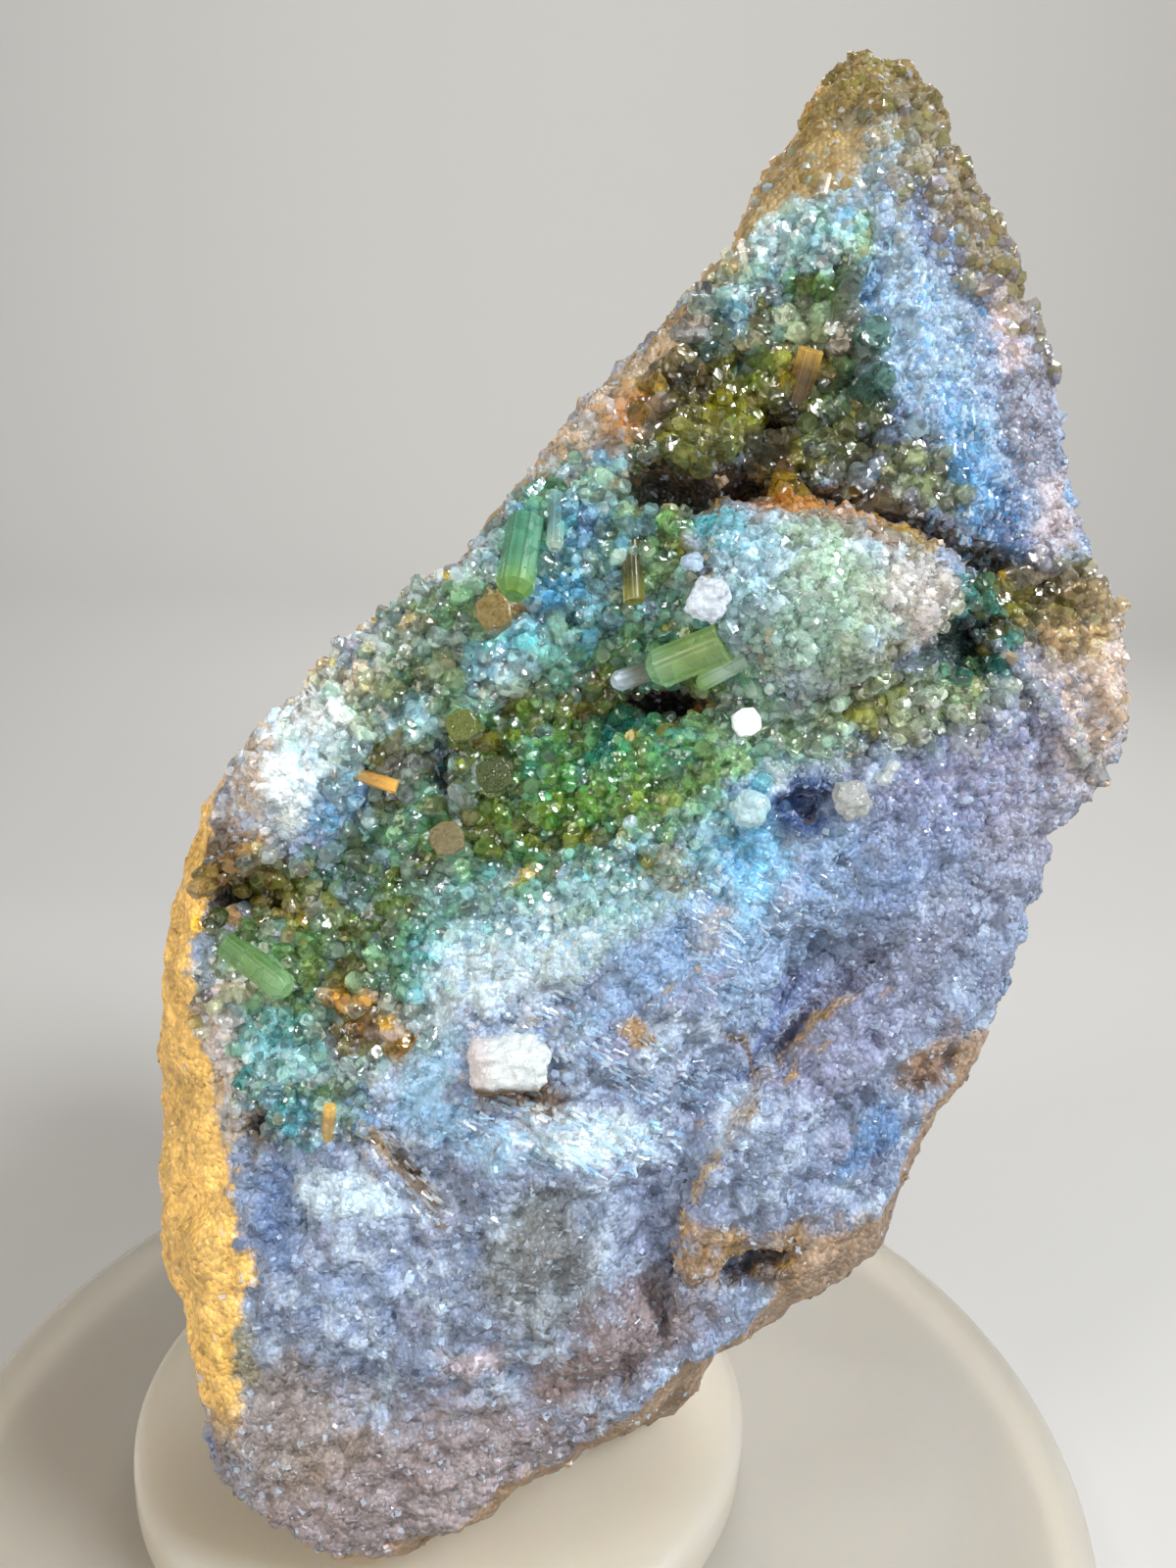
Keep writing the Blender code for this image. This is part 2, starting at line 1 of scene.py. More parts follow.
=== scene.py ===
"""A vesuvianite specimen on a frosted display disc: the finish of every surface.

Places on the rock are in its own frame, in millimetres: x runs to the right, y goes into the rock from its front
face, and z runs up along the face, which leans back. Each piece is then put in the model's frame, in metres.
"""

import math

import bpy
import numpy as np
from mathutils import Matrix, Vector, noise
from mathutils.bvhtree import BVHTree


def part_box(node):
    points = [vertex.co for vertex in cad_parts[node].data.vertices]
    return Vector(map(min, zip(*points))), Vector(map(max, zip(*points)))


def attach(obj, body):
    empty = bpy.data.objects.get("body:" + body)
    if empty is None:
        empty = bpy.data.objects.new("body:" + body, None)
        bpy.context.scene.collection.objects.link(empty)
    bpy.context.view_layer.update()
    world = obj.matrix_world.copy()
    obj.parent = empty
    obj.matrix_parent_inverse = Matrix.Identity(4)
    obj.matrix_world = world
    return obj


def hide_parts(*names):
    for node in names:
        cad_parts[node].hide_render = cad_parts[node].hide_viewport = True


bl_info = {
    "name": "Vesuvianite specimen",
    "version": (1, 0, 0),
    "blender": (4, 5, 0),
    "location": "3D View > Sidebar > Specimen",
    "description": "Builds the finish of a vesuvianite specimen on its display disc",
    "category": "Object",
}

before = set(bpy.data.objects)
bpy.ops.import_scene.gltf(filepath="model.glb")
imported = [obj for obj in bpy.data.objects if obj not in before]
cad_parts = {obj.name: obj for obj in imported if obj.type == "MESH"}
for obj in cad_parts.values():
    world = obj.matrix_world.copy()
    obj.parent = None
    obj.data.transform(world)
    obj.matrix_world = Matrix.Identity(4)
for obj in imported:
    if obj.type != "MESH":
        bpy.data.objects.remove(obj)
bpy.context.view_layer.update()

MM = 0.001
LEAN = math.radians(12)
ROCK_FOOT = Vector((0.0, -24.0, 12.8)) * MM
FACE = Matrix.Translation(ROCK_FOOT) @ Matrix.Rotation(-LEAN, 4, "X") @ Matrix.Diagonal((MM, MM, MM, 1))
TO_FACE = FACE.inverted()
FACE_TURN = np.array(FACE.to_3x3()) / MM


def tint(red, green, blue):
    """A colour as it shows on a screen, 0 to 255, as light values."""
    return tuple(((c / 255 + 0.055) / 1.055) ** 2.4 if c > 10 else c / 255 / 12.92 for c in (red, green, blue))


MATRIX = tint(130, 145, 172)
SUGAR = tint(188, 206, 226)
# Slate blue-grey: its patches on the matrix paint the small shadows between the lumps, and in the upper hollow it is
# also a crystal colour.
SHADOW_SLATE = tint(88, 102, 130)
# Ochre of the left flank: its stain together with painted warm light from the left.
FLANK_OCHRE_WARM_LIT = tint(234, 188, 96)
TAN = tint(166, 140, 98)
DUSK = tint(146, 130, 126)
BACK_GREY = tint(136, 142, 152)
SKY = tint(96, 164, 214)
PALE_SKY = tint(160, 204, 232)
DEEP_BLUE = tint(40, 92, 148)
NAVY = tint(18, 34, 70)
TURQUOISE = tint(84, 176, 182)
TEAL = tint(50, 128, 122)
DARK_TEAL = tint(14, 70, 84)
GREEN = tint(94, 132, 68)
SEA_GREEN = tint(86, 146, 116)
BRIGHT_GREEN = tint(126, 166, 84)
OLIVE = tint(116, 116, 56)
YELLOW_OLIVE = tint(150, 148, 74)
DARK_OLIVE = tint(56, 56, 28)
PALE_GREEN = tint(172, 196, 180)
WHITE = tint(222, 232, 238)
PINK_WHITE = tint(204, 190, 192)
CREAM = tint(198, 178, 152)
AMBER = tint(182, 142, 76)
BROWN = tint(96, 72, 36)
# Dark brown for the deep holes, pits and cracks: painted shade.
SHADE_BROWN = tint(44, 32, 16)
LILAC = tint(146, 143, 172)
GOLD = tint(222, 178, 88)

# Colours of the rock, as ovals on its face: x, z, half length, half width, turn in degrees, colour, strength
# The darkest ovals, on the holes, pits and cracks of FINE_RELIEF, paint their shade.
ROCK_TINTS = (
    (24.6, 82.0, 16.0, 5.6, 112, tint(134, 148, 172), 0.85),
    (19.6, 97.4, 7.5, 7.5, 62, tint(138, 120, 62), 0.95),
    (25.6, 91.4, 8.6, 2.9, -62, tint(136, 122, 92), 0.9),
    (30.4, 86.6, 6.4, 2.2, -68, tint(142, 130, 106), 0.88),
    (22.4, 93.4, 3.4, 1.6, -60, tint(150, 146, 132), 0.7),
    (18.0, 89.6, 4.2, 3.0, 60, tint(164, 200, 222), 0.92),
    (21.6, 84.6, 6.4, 2.7, 118, tint(166, 194, 214), 0.9),
    (25.2, 78.4, 6.0, 2.5, 112, tint(156, 186, 210), 0.9),
    (19.4, 86.0, 4.0, 1.0, 114, tint(84, 150, 200), 0.8),
    (26.4, 74.6, 5.0, 1.4, 100, tint(84, 148, 192), 0.85),
    (24.3, 88.3, 2.0, 1.0, 110, tint(92, 120, 160), 0.7),
    (30.8, 78.4, 5.4, 2.2, 95, tint(136, 136, 150), 0.88),
    (28.9, 82.8, 1.8, 1.2, 80, PINK_WHITE, 0.9),
    (28.6, 71.2, 2.6, 1.5, 90, tint(56, 96, 142), 0.8),
    (33.0, 72.4, 2.4, 1.8, 60, PINK_WHITE, 0.8),
    (34.4, 73.6, 1.6, 1.0, 60, SKY, 0.7),
    (13.6, 87.6, 4.8, 2.6, 44, tint(186, 206, 200), 0.9),
    (15.6, 85.6, 3.2, 1.2, 10, tint(74, 122, 84), 0.9),
    (19.0, 88.0, 1.5, 1.3, 0, tint(140, 174, 130), 0.85),
    (13.8, 84.0, 2.2, 1.5, 60, tint(92, 80, 36), 0.9),
    (11.6, 84.4, 1.8, 1.5, 60, PALE_SKY, 0.8),
    (11.2, 82.2, 2.2, 1.6, 70, tint(36, 62, 80), 0.85),
    (13.0, 80.4, 2.0, 1.8, 40, tint(70, 116, 88), 0.9),
    (16.4, 79.0, 6.4, 4.6, 76, tint(70, 66, 34), 0.9),
    (16.8, 83.8, 2.4, 1.4, 0, tint(186, 198, 188), 0.9),
    (15.4, 81.4, 1.5, 1.0, 20, tint(160, 144, 100), 0.85),
    (14.6, 79.8, 1.8, 1.0, 50, tint(122, 98, 40), 0.85),
    (18.4, 78.0, 2.2, 1.6, 40, tint(78, 88, 44), 0.9),
    (20.6, 79.6, 1.8, 1.2, 60, tint(50, 88, 100), 0.8),
    (15.4, 75.6, 3.6, 1.8, 0, SHADE_BROWN, 0.85),
    (13.1, 75.6, 1.2, 1.6, 0, tint(38, 66, 112), 0.85),
    (20.8, 75.2, 4.4, 1.8, -30, tint(104, 108, 84), 0.85),
    (23.4, 73.6, 2.2, 1.3, -30, tint(132, 128, 76), 0.85),
    (9.2, 82.2, 2.2, 1.5, 50, tint(146, 112, 52), 0.9),
    (9.8, 79.0, 3.0, 2.4, 40, tint(56, 52, 22), 0.92),
    (11.4, 77.2, 2.4, 1.6, 30, tint(124, 122, 40), 0.9),
    (6.2, 79.8, 3.4, 1.4, 46, tint(190, 170, 140), 0.85),
    (6.6, 76.7, 2.0, 1.9, 40, tint(196, 138, 58), 0.85),
    (10.2, 75.0, 3.2, 1.8, 10, tint(118, 120, 66), 0.9),
    (3.2, 76.2, 3.6, 1.5, 40, CREAM, 0.8),
    (0.6, 73.4, 3.4, 1.2, 44, tint(180, 180, 176), 0.8),
    (8.8, 72.8, 3.4, 1.2, -6, SHADE_BROWN, 0.95),
    (13.4, 73.4, 2.2, 1.2, 0, SHADE_BROWN, 0.95),
    (18.0, 72.6, 4.4, 1.0, -8, tint(156, 108, 48), 0.95),
    (21.4, 71.9, 3.6, 0.8, -20, BROWN, 0.85),
    # Deep teal in the hollow at the pale block's right end, and dark grey-green in the hole above it: their colour
    # with painted shade.
    (26.6, 64.8, 3.4, 2.8, 50, tint(36, 112, 112), 0.97),
    (28.0, 68.6, 2.2, 1.2, -10, tint(60, 74, 66), 0.9),
    (31.8, 66.6, 4.4, 2.6, -6, tint(116, 112, 64), 0.92),
    (35.0, 61.6, 5.8, 3.8, 80, tint(196, 180, 166), 0.95),
    (36.4, 69.6, 1.8, 1.2, 80, SKY, 0.7),
    (23.6, 60.4, 7.0, 1.9, 6, tint(134, 146, 98), 0.9),
    (17.6, 58.0, 3.4, 2.2, 10, tint(160, 182, 168), 0.85),
    (21.2, 59.2, 1.6, 1.2, 0, YELLOW_OLIVE, 0.7),
    (28.0, 57.0, 6.4, 3.8, 30, tint(152, 154, 182), 0.85),
    (32.0, 53.0, 4.0, 4.0, 40, tint(160, 156, 170), 0.5),
    (3.4, 57.6, 14.2, 7.6, 36, tint(98, 140, 112), 0.95),
    (1.6, 66.8, 8.4, 5.6, 52, tint(112, 142, 134), 0.9),
    (-6.4, 60.4, 8.0, 4.4, 46, tint(120, 136, 116), 0.9),
    (0.6, 70.8, 2.4, 1.6, 50, tint(84, 136, 98), 0.85),
    (3.2, 70.8, 2.0, 1.6, 40, tint(84, 134, 172), 0.85),
    (4.6, 72.6, 2.4, 1.3, 30, PALE_GREEN, 0.7),
    (2.8, 66.4, 2.2, 2.0, 0, tint(84, 136, 152), 0.85),
    (5.8, 65.4, 2.6, 1.4, 10, PALE_SKY, 0.85),
    (7.0, 68.6, 3.6, 1.7, 84, tint(108, 108, 46), 0.92),
    (9.2, 70.8, 1.8, 1.2, 30, tint(100, 126, 70), 0.85),
    (-1.4, 65.8, 1.5, 1.3, 0, tint(160, 122, 60), 0.85),
    (-4.6, 65.4, 2.6, 1.6, 46, tint(112, 138, 90), 0.85),
    (-3.2, 68.2, 2.6, 1.1, 46, tint(176, 186, 190), 0.8),
    (-7.4, 62.8, 3.4, 1.2, 44, tint(170, 178, 178), 0.8),
    (-11.8, 59.2, 4.0, 1.5, 46, CREAM, 0.8),
    (-1.4, 62.4, 2.4, 1.4, 20, tint(140, 188, 206), 0.85),
    (-9.4, 58.6, 2.4, 1.4, 40, tint(106, 132, 106), 0.8),
    (-6.2, 58.2, 1.6, 1.4, 0, tint(150, 186, 196), 0.75),
    (-1.6, 58.6, 2.6, 2.4, 20, tint(86, 102, 44), 0.9),
    (3.2, 57.0, 3.0, 1.9, 60, tint(78, 122, 78), 0.88),
    (4.2, 60.6, 2.4, 1.6, 80, tint(126, 112, 60), 0.9),
    (6.8, 57.6, 3.4, 1.8, 20, tint(60, 140, 130), 0.9),
    (5.0, 53.6, 5.0, 1.6, 16, tint(112, 132, 66), 0.8),
    (-1.6, 60.8, 2.2, 1.2, 30, tint(186, 204, 216), 0.7),
    (9.6, 57.0, 2.0, 1.2, 20, tint(120, 178, 172), 0.8),
    (6.4, 54.8, 3.2, 1.5, 34, tint(120, 160, 116), 0.8),
    (-2.4, 55.6, 2.0, 2.6, -20, tint(104, 104, 48), 0.85),
    # Dark blue in the hole of the middle band: painted shade over a blue tinge.
    (-4.8, 54.8, 1.4, 2.2, -10, tint(32, 72, 112), 0.95),
    (-7.6, 54.6, 2.4, 1.6, 30, tint(108, 96, 48), 0.88),
    (1.8, 51.6, 3.8, 2.2, 16, tint(72, 112, 60), 0.92),
    (4.2, 50.6, 2.2, 1.3, 10, tint(98, 86, 40), 0.88),
    (-2.6, 51.6, 2.4, 1.8, 10, tint(110, 94, 50), 0.85),
    (9.4, 53.8, 3.0, 1.9, 30, tint(128, 150, 96), 0.8),
    (12.6, 57.2, 2.4, 1.4, 30, tint(150, 178, 158), 0.85),
    # Almost black blue-green in the deep hollow under the centre prism: painted shade.
    (9.0, 59.8, 4.2, 1.7, -4, tint(14, 44, 66), 0.97),
    (7.6, 61.9, 2.6, 1.1, 20, PALE_GREEN, 0.6),
    (-11.0, 43.6, 9.4, 5.4, 44, tint(96, 122, 86), 0.95),
    (-3.6, 47.6, 3.2, 1.4, 20, tint(150, 176, 186), 0.8),
    (-6.4, 49.6, 2.6, 1.3, 40, tint(96, 118, 66), 0.85),
    (-5.6, 43.2, 2.0, 1.8, 60, TURQUOISE, 0.85),
    (-11.6, 48.0, 3.0, 1.8, 40, tint(68, 108, 96), 0.85),
    (-8.4, 46.6, 2.8, 1.8, 40, tint(96, 100, 50), 0.88),
    (-14.0, 43.0, 3.2, 1.8, 10, tint(98, 124, 84), 0.88),
    (-11.0, 41.2, 3.2, 1.6, 14, tint(66, 68, 36), 0.9),
    (-13.7, 55.4, 5.0, 3.0, 70, tint(226, 238, 244), 0.96),
    (-11.2, 52.6, 2.2, 1.6, 40, tint(120, 168, 206), 0.8),
    (-16.4, 54.0, 3.2, 1.4, 66, tint(200, 180, 160), 0.85),
    (-17.2, 48.0, 3.4, 2.4, -20, BROWN, 0.95),
    (-17.6, 46.6, 1.7, 1.2, 0, SHADE_BROWN, 0.97),
    (-15.8, 50.6, 1.6, 1.0, 20, AMBER, 0.7),
    (-13.4, 46.0, 2.2, 1.4, 10, tint(122, 112, 56), 0.8),
    (-16.2, 41.4, 1.4, 1.6, 0, tint(198, 196, 184), 0.85),
    (-17.6, 37.6, 4.4, 1.3, 92, tint(206, 190, 180), 0.88),
    (-13.4, 37.2, 4.6, 3.0, 50, tint(134, 168, 168), 0.88),
    (-11.2, 35.2, 2.0, 1.4, 20, tint(94, 132, 96), 0.85),
    (-15.2, 38.6, 1.4, 1.6, 0, tint(96, 158, 162), 0.8),
    (-9.2, 37.0, 1.8, 1.4, 0, tint(176, 184, 178), 0.8),
    (-14.0, 33.4, 2.4, 1.4, 20, tint(84, 142, 158), 0.8),
    (-8.2, 39.8, 3.6, 1.7, -12, tint(164, 124, 58), 0.94),
    (-10.8, 39.0, 1.6, 1.0, 0, BROWN, 0.85),
    (-4.6, 37.4, 3.2, 1.5, 86, tint(160, 200, 224), 0.85),
    # Dark brown in the cavity at the lower left: its brown with painted shade.
    (-15.7, 32.6, 1.8, 1.5, 0, tint(92, 80, 40), 0.95),
    (3.6, 46.8, 12.0, 2.6, 22, tint(152, 184, 186), 0.9),
    (-1.4, 43.6, 6.0, 2.2, 24, tint(198, 214, 222), 0.8),
    (9.6, 49.9, 1.4, 1.5, 0, tint(132, 122, 76), 0.85),
    (11.6, 46.4, 1.8, 0.8, 50, CREAM, 0.8),
    (14.2, 51.6, 5.0, 2.2, 84, tint(124, 186, 222), 0.92),
    (12.0, 53.0, 1.6, 1.4, 0, tint(160, 196, 196), 0.7),
    # Dark blue in the pit by the blue streak: painted shade over its blue.
    (17.4, 54.2, 1.9, 1.5, -10, tint(40, 70, 122), 0.95),
    (19.2, 51.0, 3.4, 2.0, 34, tint(126, 158, 196), 0.75),
    (22.2, 49.4, 5.4, 2.6, 44, tint(102, 128, 170), 0.75),
    (24.6, 53.0, 4.2, 2.0, 34, tint(140, 152, 182), 0.6),
    (17.0, 45.4, 5.6, 2.4, 44, tint(140, 170, 202), 0.75),
    (8.6, 44.2, 5.0, 2.0, 40, tint(130, 162, 198), 0.75),
    (16.2, 40.2, 4.6, 1.0, 48, tint(84, 106, 154), 0.85),
    (21.0, 40.4, 5.6, 3.4, 52, tint(140, 142, 172), 0.7),
    (26.0, 45.6, 5.6, 2.2, 64, tint(124, 128, 150), 0.6),
    (5.4, 33.6, 4.4, 1.3, -4, tint(208, 228, 240), 0.88),
    (2.4, 35.4, 3.0, 0.9, -30, WHITE, 0.6),
    (-3.4, 34.0, 3.4, 1.5, -16, tint(146, 192, 226), 0.8),
    (-6.0, 30.8, 3.0, 0.8, -46, tint(112, 88, 56), 0.9),
    (-7.4, 32.2, 2.0, 0.6, -50, TAN, 0.6),
    (13.6, 39.0, 1.9, 0.3, -58, BROWN, 0.9),
    (7.6, 39.9, 0.9, 0.4, -60, AMBER, 0.8),
    (-9.8, 29.0, 3.2, 1.6, -10, tint(200, 222, 240), 0.9),
    (-14.0, 27.4, 3.8, 1.6, 86, tint(92, 118, 160), 0.8),
    (-8.6, 23.6, 3.0, 1.6, 20, tint(142, 164, 200), 0.7),
    (0.6, 36.2, 2.4, 0.9, 0, tint(110, 84, 54), 0.9),
    (2.6, 26.4, 3.4, 4.6, 10, tint(118, 118, 102), 0.6),
    (9.6, 27.6, 3.0, 3.4, 30, tint(124, 134, 164), 0.6),
    (-1.2, 19.0, 2.2, 1.1, 10, tint(196, 182, 186), 0.7),
    (15.4, 26.2, 4.4, 1.8, 12, tint(142, 112, 66), 0.92),
    (16.2, 24.8, 2.0, 0.7, 10, SHADE_BROWN, 0.75),
    (12.6, 28.0, 2.0, 1.1, 10, AMBER, 0.7),
    (26.4, 38.2, 2.8, 1.2, 60, tint(146, 112, 76), 0.85),
    (22.6, 33.2, 2.8, 1.0, 36, tint(88, 128, 176), 0.8),
    # Warm grey at the rock's foot and underside, with painted shade of the underside in it.
    (-6.0, 9.0, 13.0, 6.0, 18, tint(150, 134, 130), 0.8),
    (-13.4, 13.0, 5.0, 4.4, 60, tint(150, 134, 120), 0.7),
    (7.0, 20.0, 6.0, 3.0, 38, tint(134, 116, 112), 0.85),
    (21.6, 44.0, 5.0, 5.4, 40, tint(112, 122, 150), 0.45),
    (-17.0, 18.0, 2.8, 2.0, 80, tint(150, 142, 100), 0.7),
)
PALE_BLOCK_TONE = tint(186, 206, 214)
# Colours on the pale block
BLOCK_TINTS = (
    (11.4, 69.8, 2.2, 1.7, -10, tint(76, 172, 188), 0.95),
    (13.4, 68.4, 2.4, 2.2, -20, tint(164, 206, 222), 0.85),
    (12.6, 64.4, 1.4, 2.4, 20, tint(140, 184, 190), 0.8),
    (16.6, 69.4, 2.2, 1.3, 0, tint(168, 188, 160), 0.85),
    (17.4, 66.8, 2.2, 1.8, 30, tint(176, 200, 170), 0.8),
    (16.6, 63.6, 3.0, 1.4, 10, tint(150, 186, 160), 0.8),
    (20.2, 66.0, 1.6, 2.2, -20, tint(188, 198, 172), 0.8),
    (19.2, 62.2, 3.0, 1.2, 8, tint(158, 176, 140), 0.85),
    (22.8, 67.2, 2.9, 2.3, -30, tint(222, 214, 208), 0.95),
    (23.6, 65.2, 1.6, 2.0, -24, tint(214, 202, 194), 0.9),
    (21.3, 63.0, 1.2, 0.9, 0, tint(124, 116, 62), 0.85),
    (18.2, 71.2, 4.8, 1.5, -8, tint(172, 118, 50), 0.96),
    (23.0, 69.9, 2.8, 1.0, -22, tint(150, 122, 56), 0.92),
)
FLANK_EDGE = ((-16.9, 16.0), (-16.6, 25.6), (-17.7, 31.9), (-19.1, 38.7), (-20.1, 44.2), (-19.9, 46.7), (-18.6, 54.1))
PEAK_EDGE = ((11.6, 85.6), (13.3, 87.7), (15.0, 89.5), (17.9, 91.1), (21.1, 92.6))
UNDER_EDGE = (
    (-18.0, 2.6),
    (-8.0, 4.0),
    (-2.3, 7.2),
    (5.7, 12.8),
    (13.0, 19.0),
    (15.7, 21.8),
    (18.6, 26.2),
    (23.8, 28.0),
    (27.1, 35.6),
    (28.5, 39.8),
)
# The underside's tan with painted shade and warm light from below.
UNDERSIDE_WARM_SHADE = tint(150, 124, 96)
PEAK_SIDE = tint(160, 134, 82)

# What sinks into (+) or stands out of (-) the front: x, z, half length, half width, turn, depth, flatness of its floor
FINE_RELIEF = (
    (7.8, 76.6, 1.0, 0.9, 0, 3.4, 2),
    (8.8, 72.6, 3.8, 1.9, -10, 5.0, 2),
    (13.4, 73.2, 2.0, 1.2, 0, 4.0, 2),
    (19.8, 72.3, 5.2, 0.55, -19, 2.6, 2),
    (25.2, 70.2, 2.2, 0.6, -40, 2.4, 2),
    (9.0, 59.8, 3.8, 1.3, 2, 4.6, 2),
    (-4.7, 54.2, 1.4, 2.4, -10, 2.3, 2),
    (-17.6, 46.6, 1.8, 1.3, 0, 3.4, 2),
    (-15.0, 46.2, 1.1, 0.9, 20, 2.4, 2),
    (-15.7, 32.6, 1.1, 0.9, 0, 2.8, 1),
    (-8.3, 39.4, 3.0, 1.0, -10, 1.0, 1),
    (17.4, 54.0, 2.2, 1.2, -10, 1.6, 2),
    (28.2, 68.9, 2.2, 1.2, -10, 2.8, 2),
    (26.4, 64.4, 2.8, 2.2, 20, 2.6, 2),
    (12.6, 80.0, 1.0, 2.4, 10, 2.0, 2),
    (15.0, 77.4, 1.6, 1.2, 10, 2.4, 2),
    (17.2, 38.4, 4.4, 1.8, 46, 2.0, 1),
    (15.0, 25.0, 4.4, 1.2, 16, 2.0, 2),
    (0.6, 36.0, 2.4, 0.7, 0, 1.0, 2),
    (-6.0, 30.8, 3.0, 0.6, -46, 0.7, 1),
    (-2.0, 34.0, 14.0, 6.0, 24, -0.6, 1),
    (16.6, 34.0, 3.2, 9.0, -20, -0.9, 1),
    (24.0, 44.0, 7.0, 5.0, 60, -0.7, 1),
    (21.5, 84.0, 10.0, 1.6, 106, 0.6, 1),
    (30.6, 84.4, 2.4, 1.6, 80, -0.8, 1),
    (33.0, 74.6, 2.6, 2.0, 60, -0.9, 1),
    (37.0, 62.0, 4.0, 2.6, 80, -0.8, 1),
    (-13.2, 54.6, 5.4, 3.2, 34, -0.9, 1),
    (24.6, 66.0, 2.0, 4.0, -24, -0.6, 1),
)
HOLE_DEPTH = 2.4
PALE_BLOCK = (
    (10.6, 68.4),
    (11.8, 71.2),
    (15.0, 71.1),
    (19.0, 70.9),
    (23.4, 69.4),
    (25.6, 67.2),
    (24.0, 65.8),
    (22.5, 63.2),
    (20.6, 61.8),
    (18.8, 60.6),
    (16.6, 60.3),
    (13.6, 61.2),
    (11.6, 63.0),
    (10.4, 66.0),
)
PALE_BLOCK_HEIGHT = 0.9
RIDGE = ((20.4, 41.6), (18.9, 40.0), (15.1, 36.2), (12.5, 32.3), (11.4, 28.5), (11.0, 25.4))
RIDGE_STEP = 2.3
# Where the rock has long low folds, as an oval turned as they run
FOLDS = (16.0, 38.0, 24.0, 16.0, 42)

# Small crystals, as ovals on the face: the crust they belong to, x, z, half length, half width, turn, how many, their
# width in mm, and the colours among which they vary
CRYSTAL_FIELDS = (
    ("druse_upper_hollow", (16.0, 79.4, 6.4, 5.0, 74), 480, 1.35, (DARK_OLIVE, OLIVE, BROWN, YELLOW_OLIVE, GREEN)),
    ("druse_upper_hollow", (20.0, 76.2, 6.2, 2.8, -34), 330, 1.2, (DARK_OLIVE, OLIVE, SHADOW_SLATE, PALE_GREEN)),
    ("druse_upper_hollow", (14.8, 86.2, 4.6, 2.6, 44), 420, 0.8, (WHITE, SUGAR, PALE_SKY, PALE_GREEN)),
    ("druse_upper_hollow", (12.4, 82.4, 2.8, 2.6, -20), 190, 1.2, (TEAL, SUGAR, GREEN, NAVY)),
    ("druse_upper_hollow", (10.2, 77.6, 4.2, 2.8, 36), 260, 1.4, (OLIVE, YELLOW_OLIVE, BROWN, DARK_OLIVE)),
    ("druse_middle_band", (5.0, 57.0, 12.6, 6.6, 32), 1500, 0.95, (GREEN, BRIGHT_GREEN, YELLOW_OLIVE, TEAL)),
    ("druse_middle_band", (-4.6, 57.0, 8.0, 5.4, 40), 620, 1.2, (SEA_GREEN, YELLOW_OLIVE, SUGAR, BROWN)),
    ("druse_middle_band", (3.0, 67.4, 8.0, 5.0, 50), 900, 1.05, (SEA_GREEN, PALE_GREEN, SKY, OLIVE, SUGAR)),
    ("druse_middle_band", (-8.0, 61.4, 7.6, 3.6, 42), 580, 1.0, (PALE_GREEN, SEA_GREEN, CREAM, WHITE, OLIVE)),
    ("druse_middle_band", (5.6, 49.4, 9.6, 2.2, 24), 480, 0.8, (SUGAR, PALE_GREEN, TEAL, OLIVE, WHITE)),
    ("druse_lower_left", (-10.4, 44.8, 9.4, 4.8, 36), 820, 1.05, (GREEN, SEA_GREEN, SUGAR, OLIVE, BROWN)),
    ("druse_lower_left", (-15.6, 47.0, 4.2, 3.0, 0), 230, 1.1, (OLIVE, BROWN, AMBER, GREEN)),
    ("druse_lower_left", (-12.6, 36.8, 5.0, 4.0, 50), 460, 0.85, (PALE_GREEN, WHITE, TEAL, SUGAR, OLIVE)),
    ("druse_lower_left", (-8.4, 40.0, 3.4, 1.6, -10), 120, 1.1, (AMBER, BROWN, OLIVE, SUGAR)),
    ("druse_right_edge", (21.6, 59.4, 9.0, 2.4, 4), 520, 1.0, (YELLOW_OLIVE, PALE_GREEN, WHITE, OLIVE)),
    ("druse_right_edge", (32.0, 66.6, 4.8, 2.7, -4), 300, 1.0, (OLIVE, TAN, DARK_OLIVE, YELLOW_OLIVE)),
    ("druse_right_edge", (27.0, 64.8, 2.8, 2.8, 10), 220, 0.8, (TEAL, TURQUOISE, DARK_TEAL, GREEN)),
)

# Larger grains of the rock itself: x, z, half length, half width, turn, how many, width in mm, colours
GRAIN_FIELDS = (
    ((19.4, 96.6, 9.0, 7.0, 62), 240, 1.0, (OLIVE, YELLOW_OLIVE, TAN, TAN)),
    ((26.6, 91.0, 11.0, 3.4, -64), 360, 1.2, (TAN, OLIVE, YELLOW_OLIVE, LILAC)),
    ((-13.4, 54.8, 6.4, 4.2, 50), 460, 0.85, (WHITE, SUGAR, PALE_SKY, WHITE)),
    ((3.0, 46.4, 12.0, 2.6, 22), 420, 0.65, (PALE_GREEN, SUGAR, WHITE, SKY)),
    ((0.2, 38.4, 3.8, 3.0, 0), 170, 0.75, (WHITE, SUGAR, CREAM)),
    ((-17.0, 38.6, 7.0, 1.3, 94), 240, 1.0, (PINK_WHITE, CREAM, WHITE)),
    ((-11.6, 34.6, 4.0, 3.4, 40), 220, 0.75, (PALE_GREEN, SUGAR, SKY, OLIVE)),
    ((36.4, 62.4, 6.0, 3.6, 80), 300, 0.85, (CREAM, PINK_WHITE, TAN)),
    ((28.6, 57.0, 6.0, 4.0, 30), 420, 0.65, (LILAC, SUGAR, MATRIX)),
    ((4.6, 75.2, 6.6, 2.4, 42), 330, 0.95, (CREAM, AMBER, SUGAR)),
    ((14.0, 88.6, 6.0, 3.2, 50), 320, 0.85, (SUGAR, PALE_GREEN, PALE_SKY)),
    ((24.4, 80.6, 14.0, 4.6, 112), 900, 0.6, (SUGAR, SKY, WHITE, LILAC)),
)
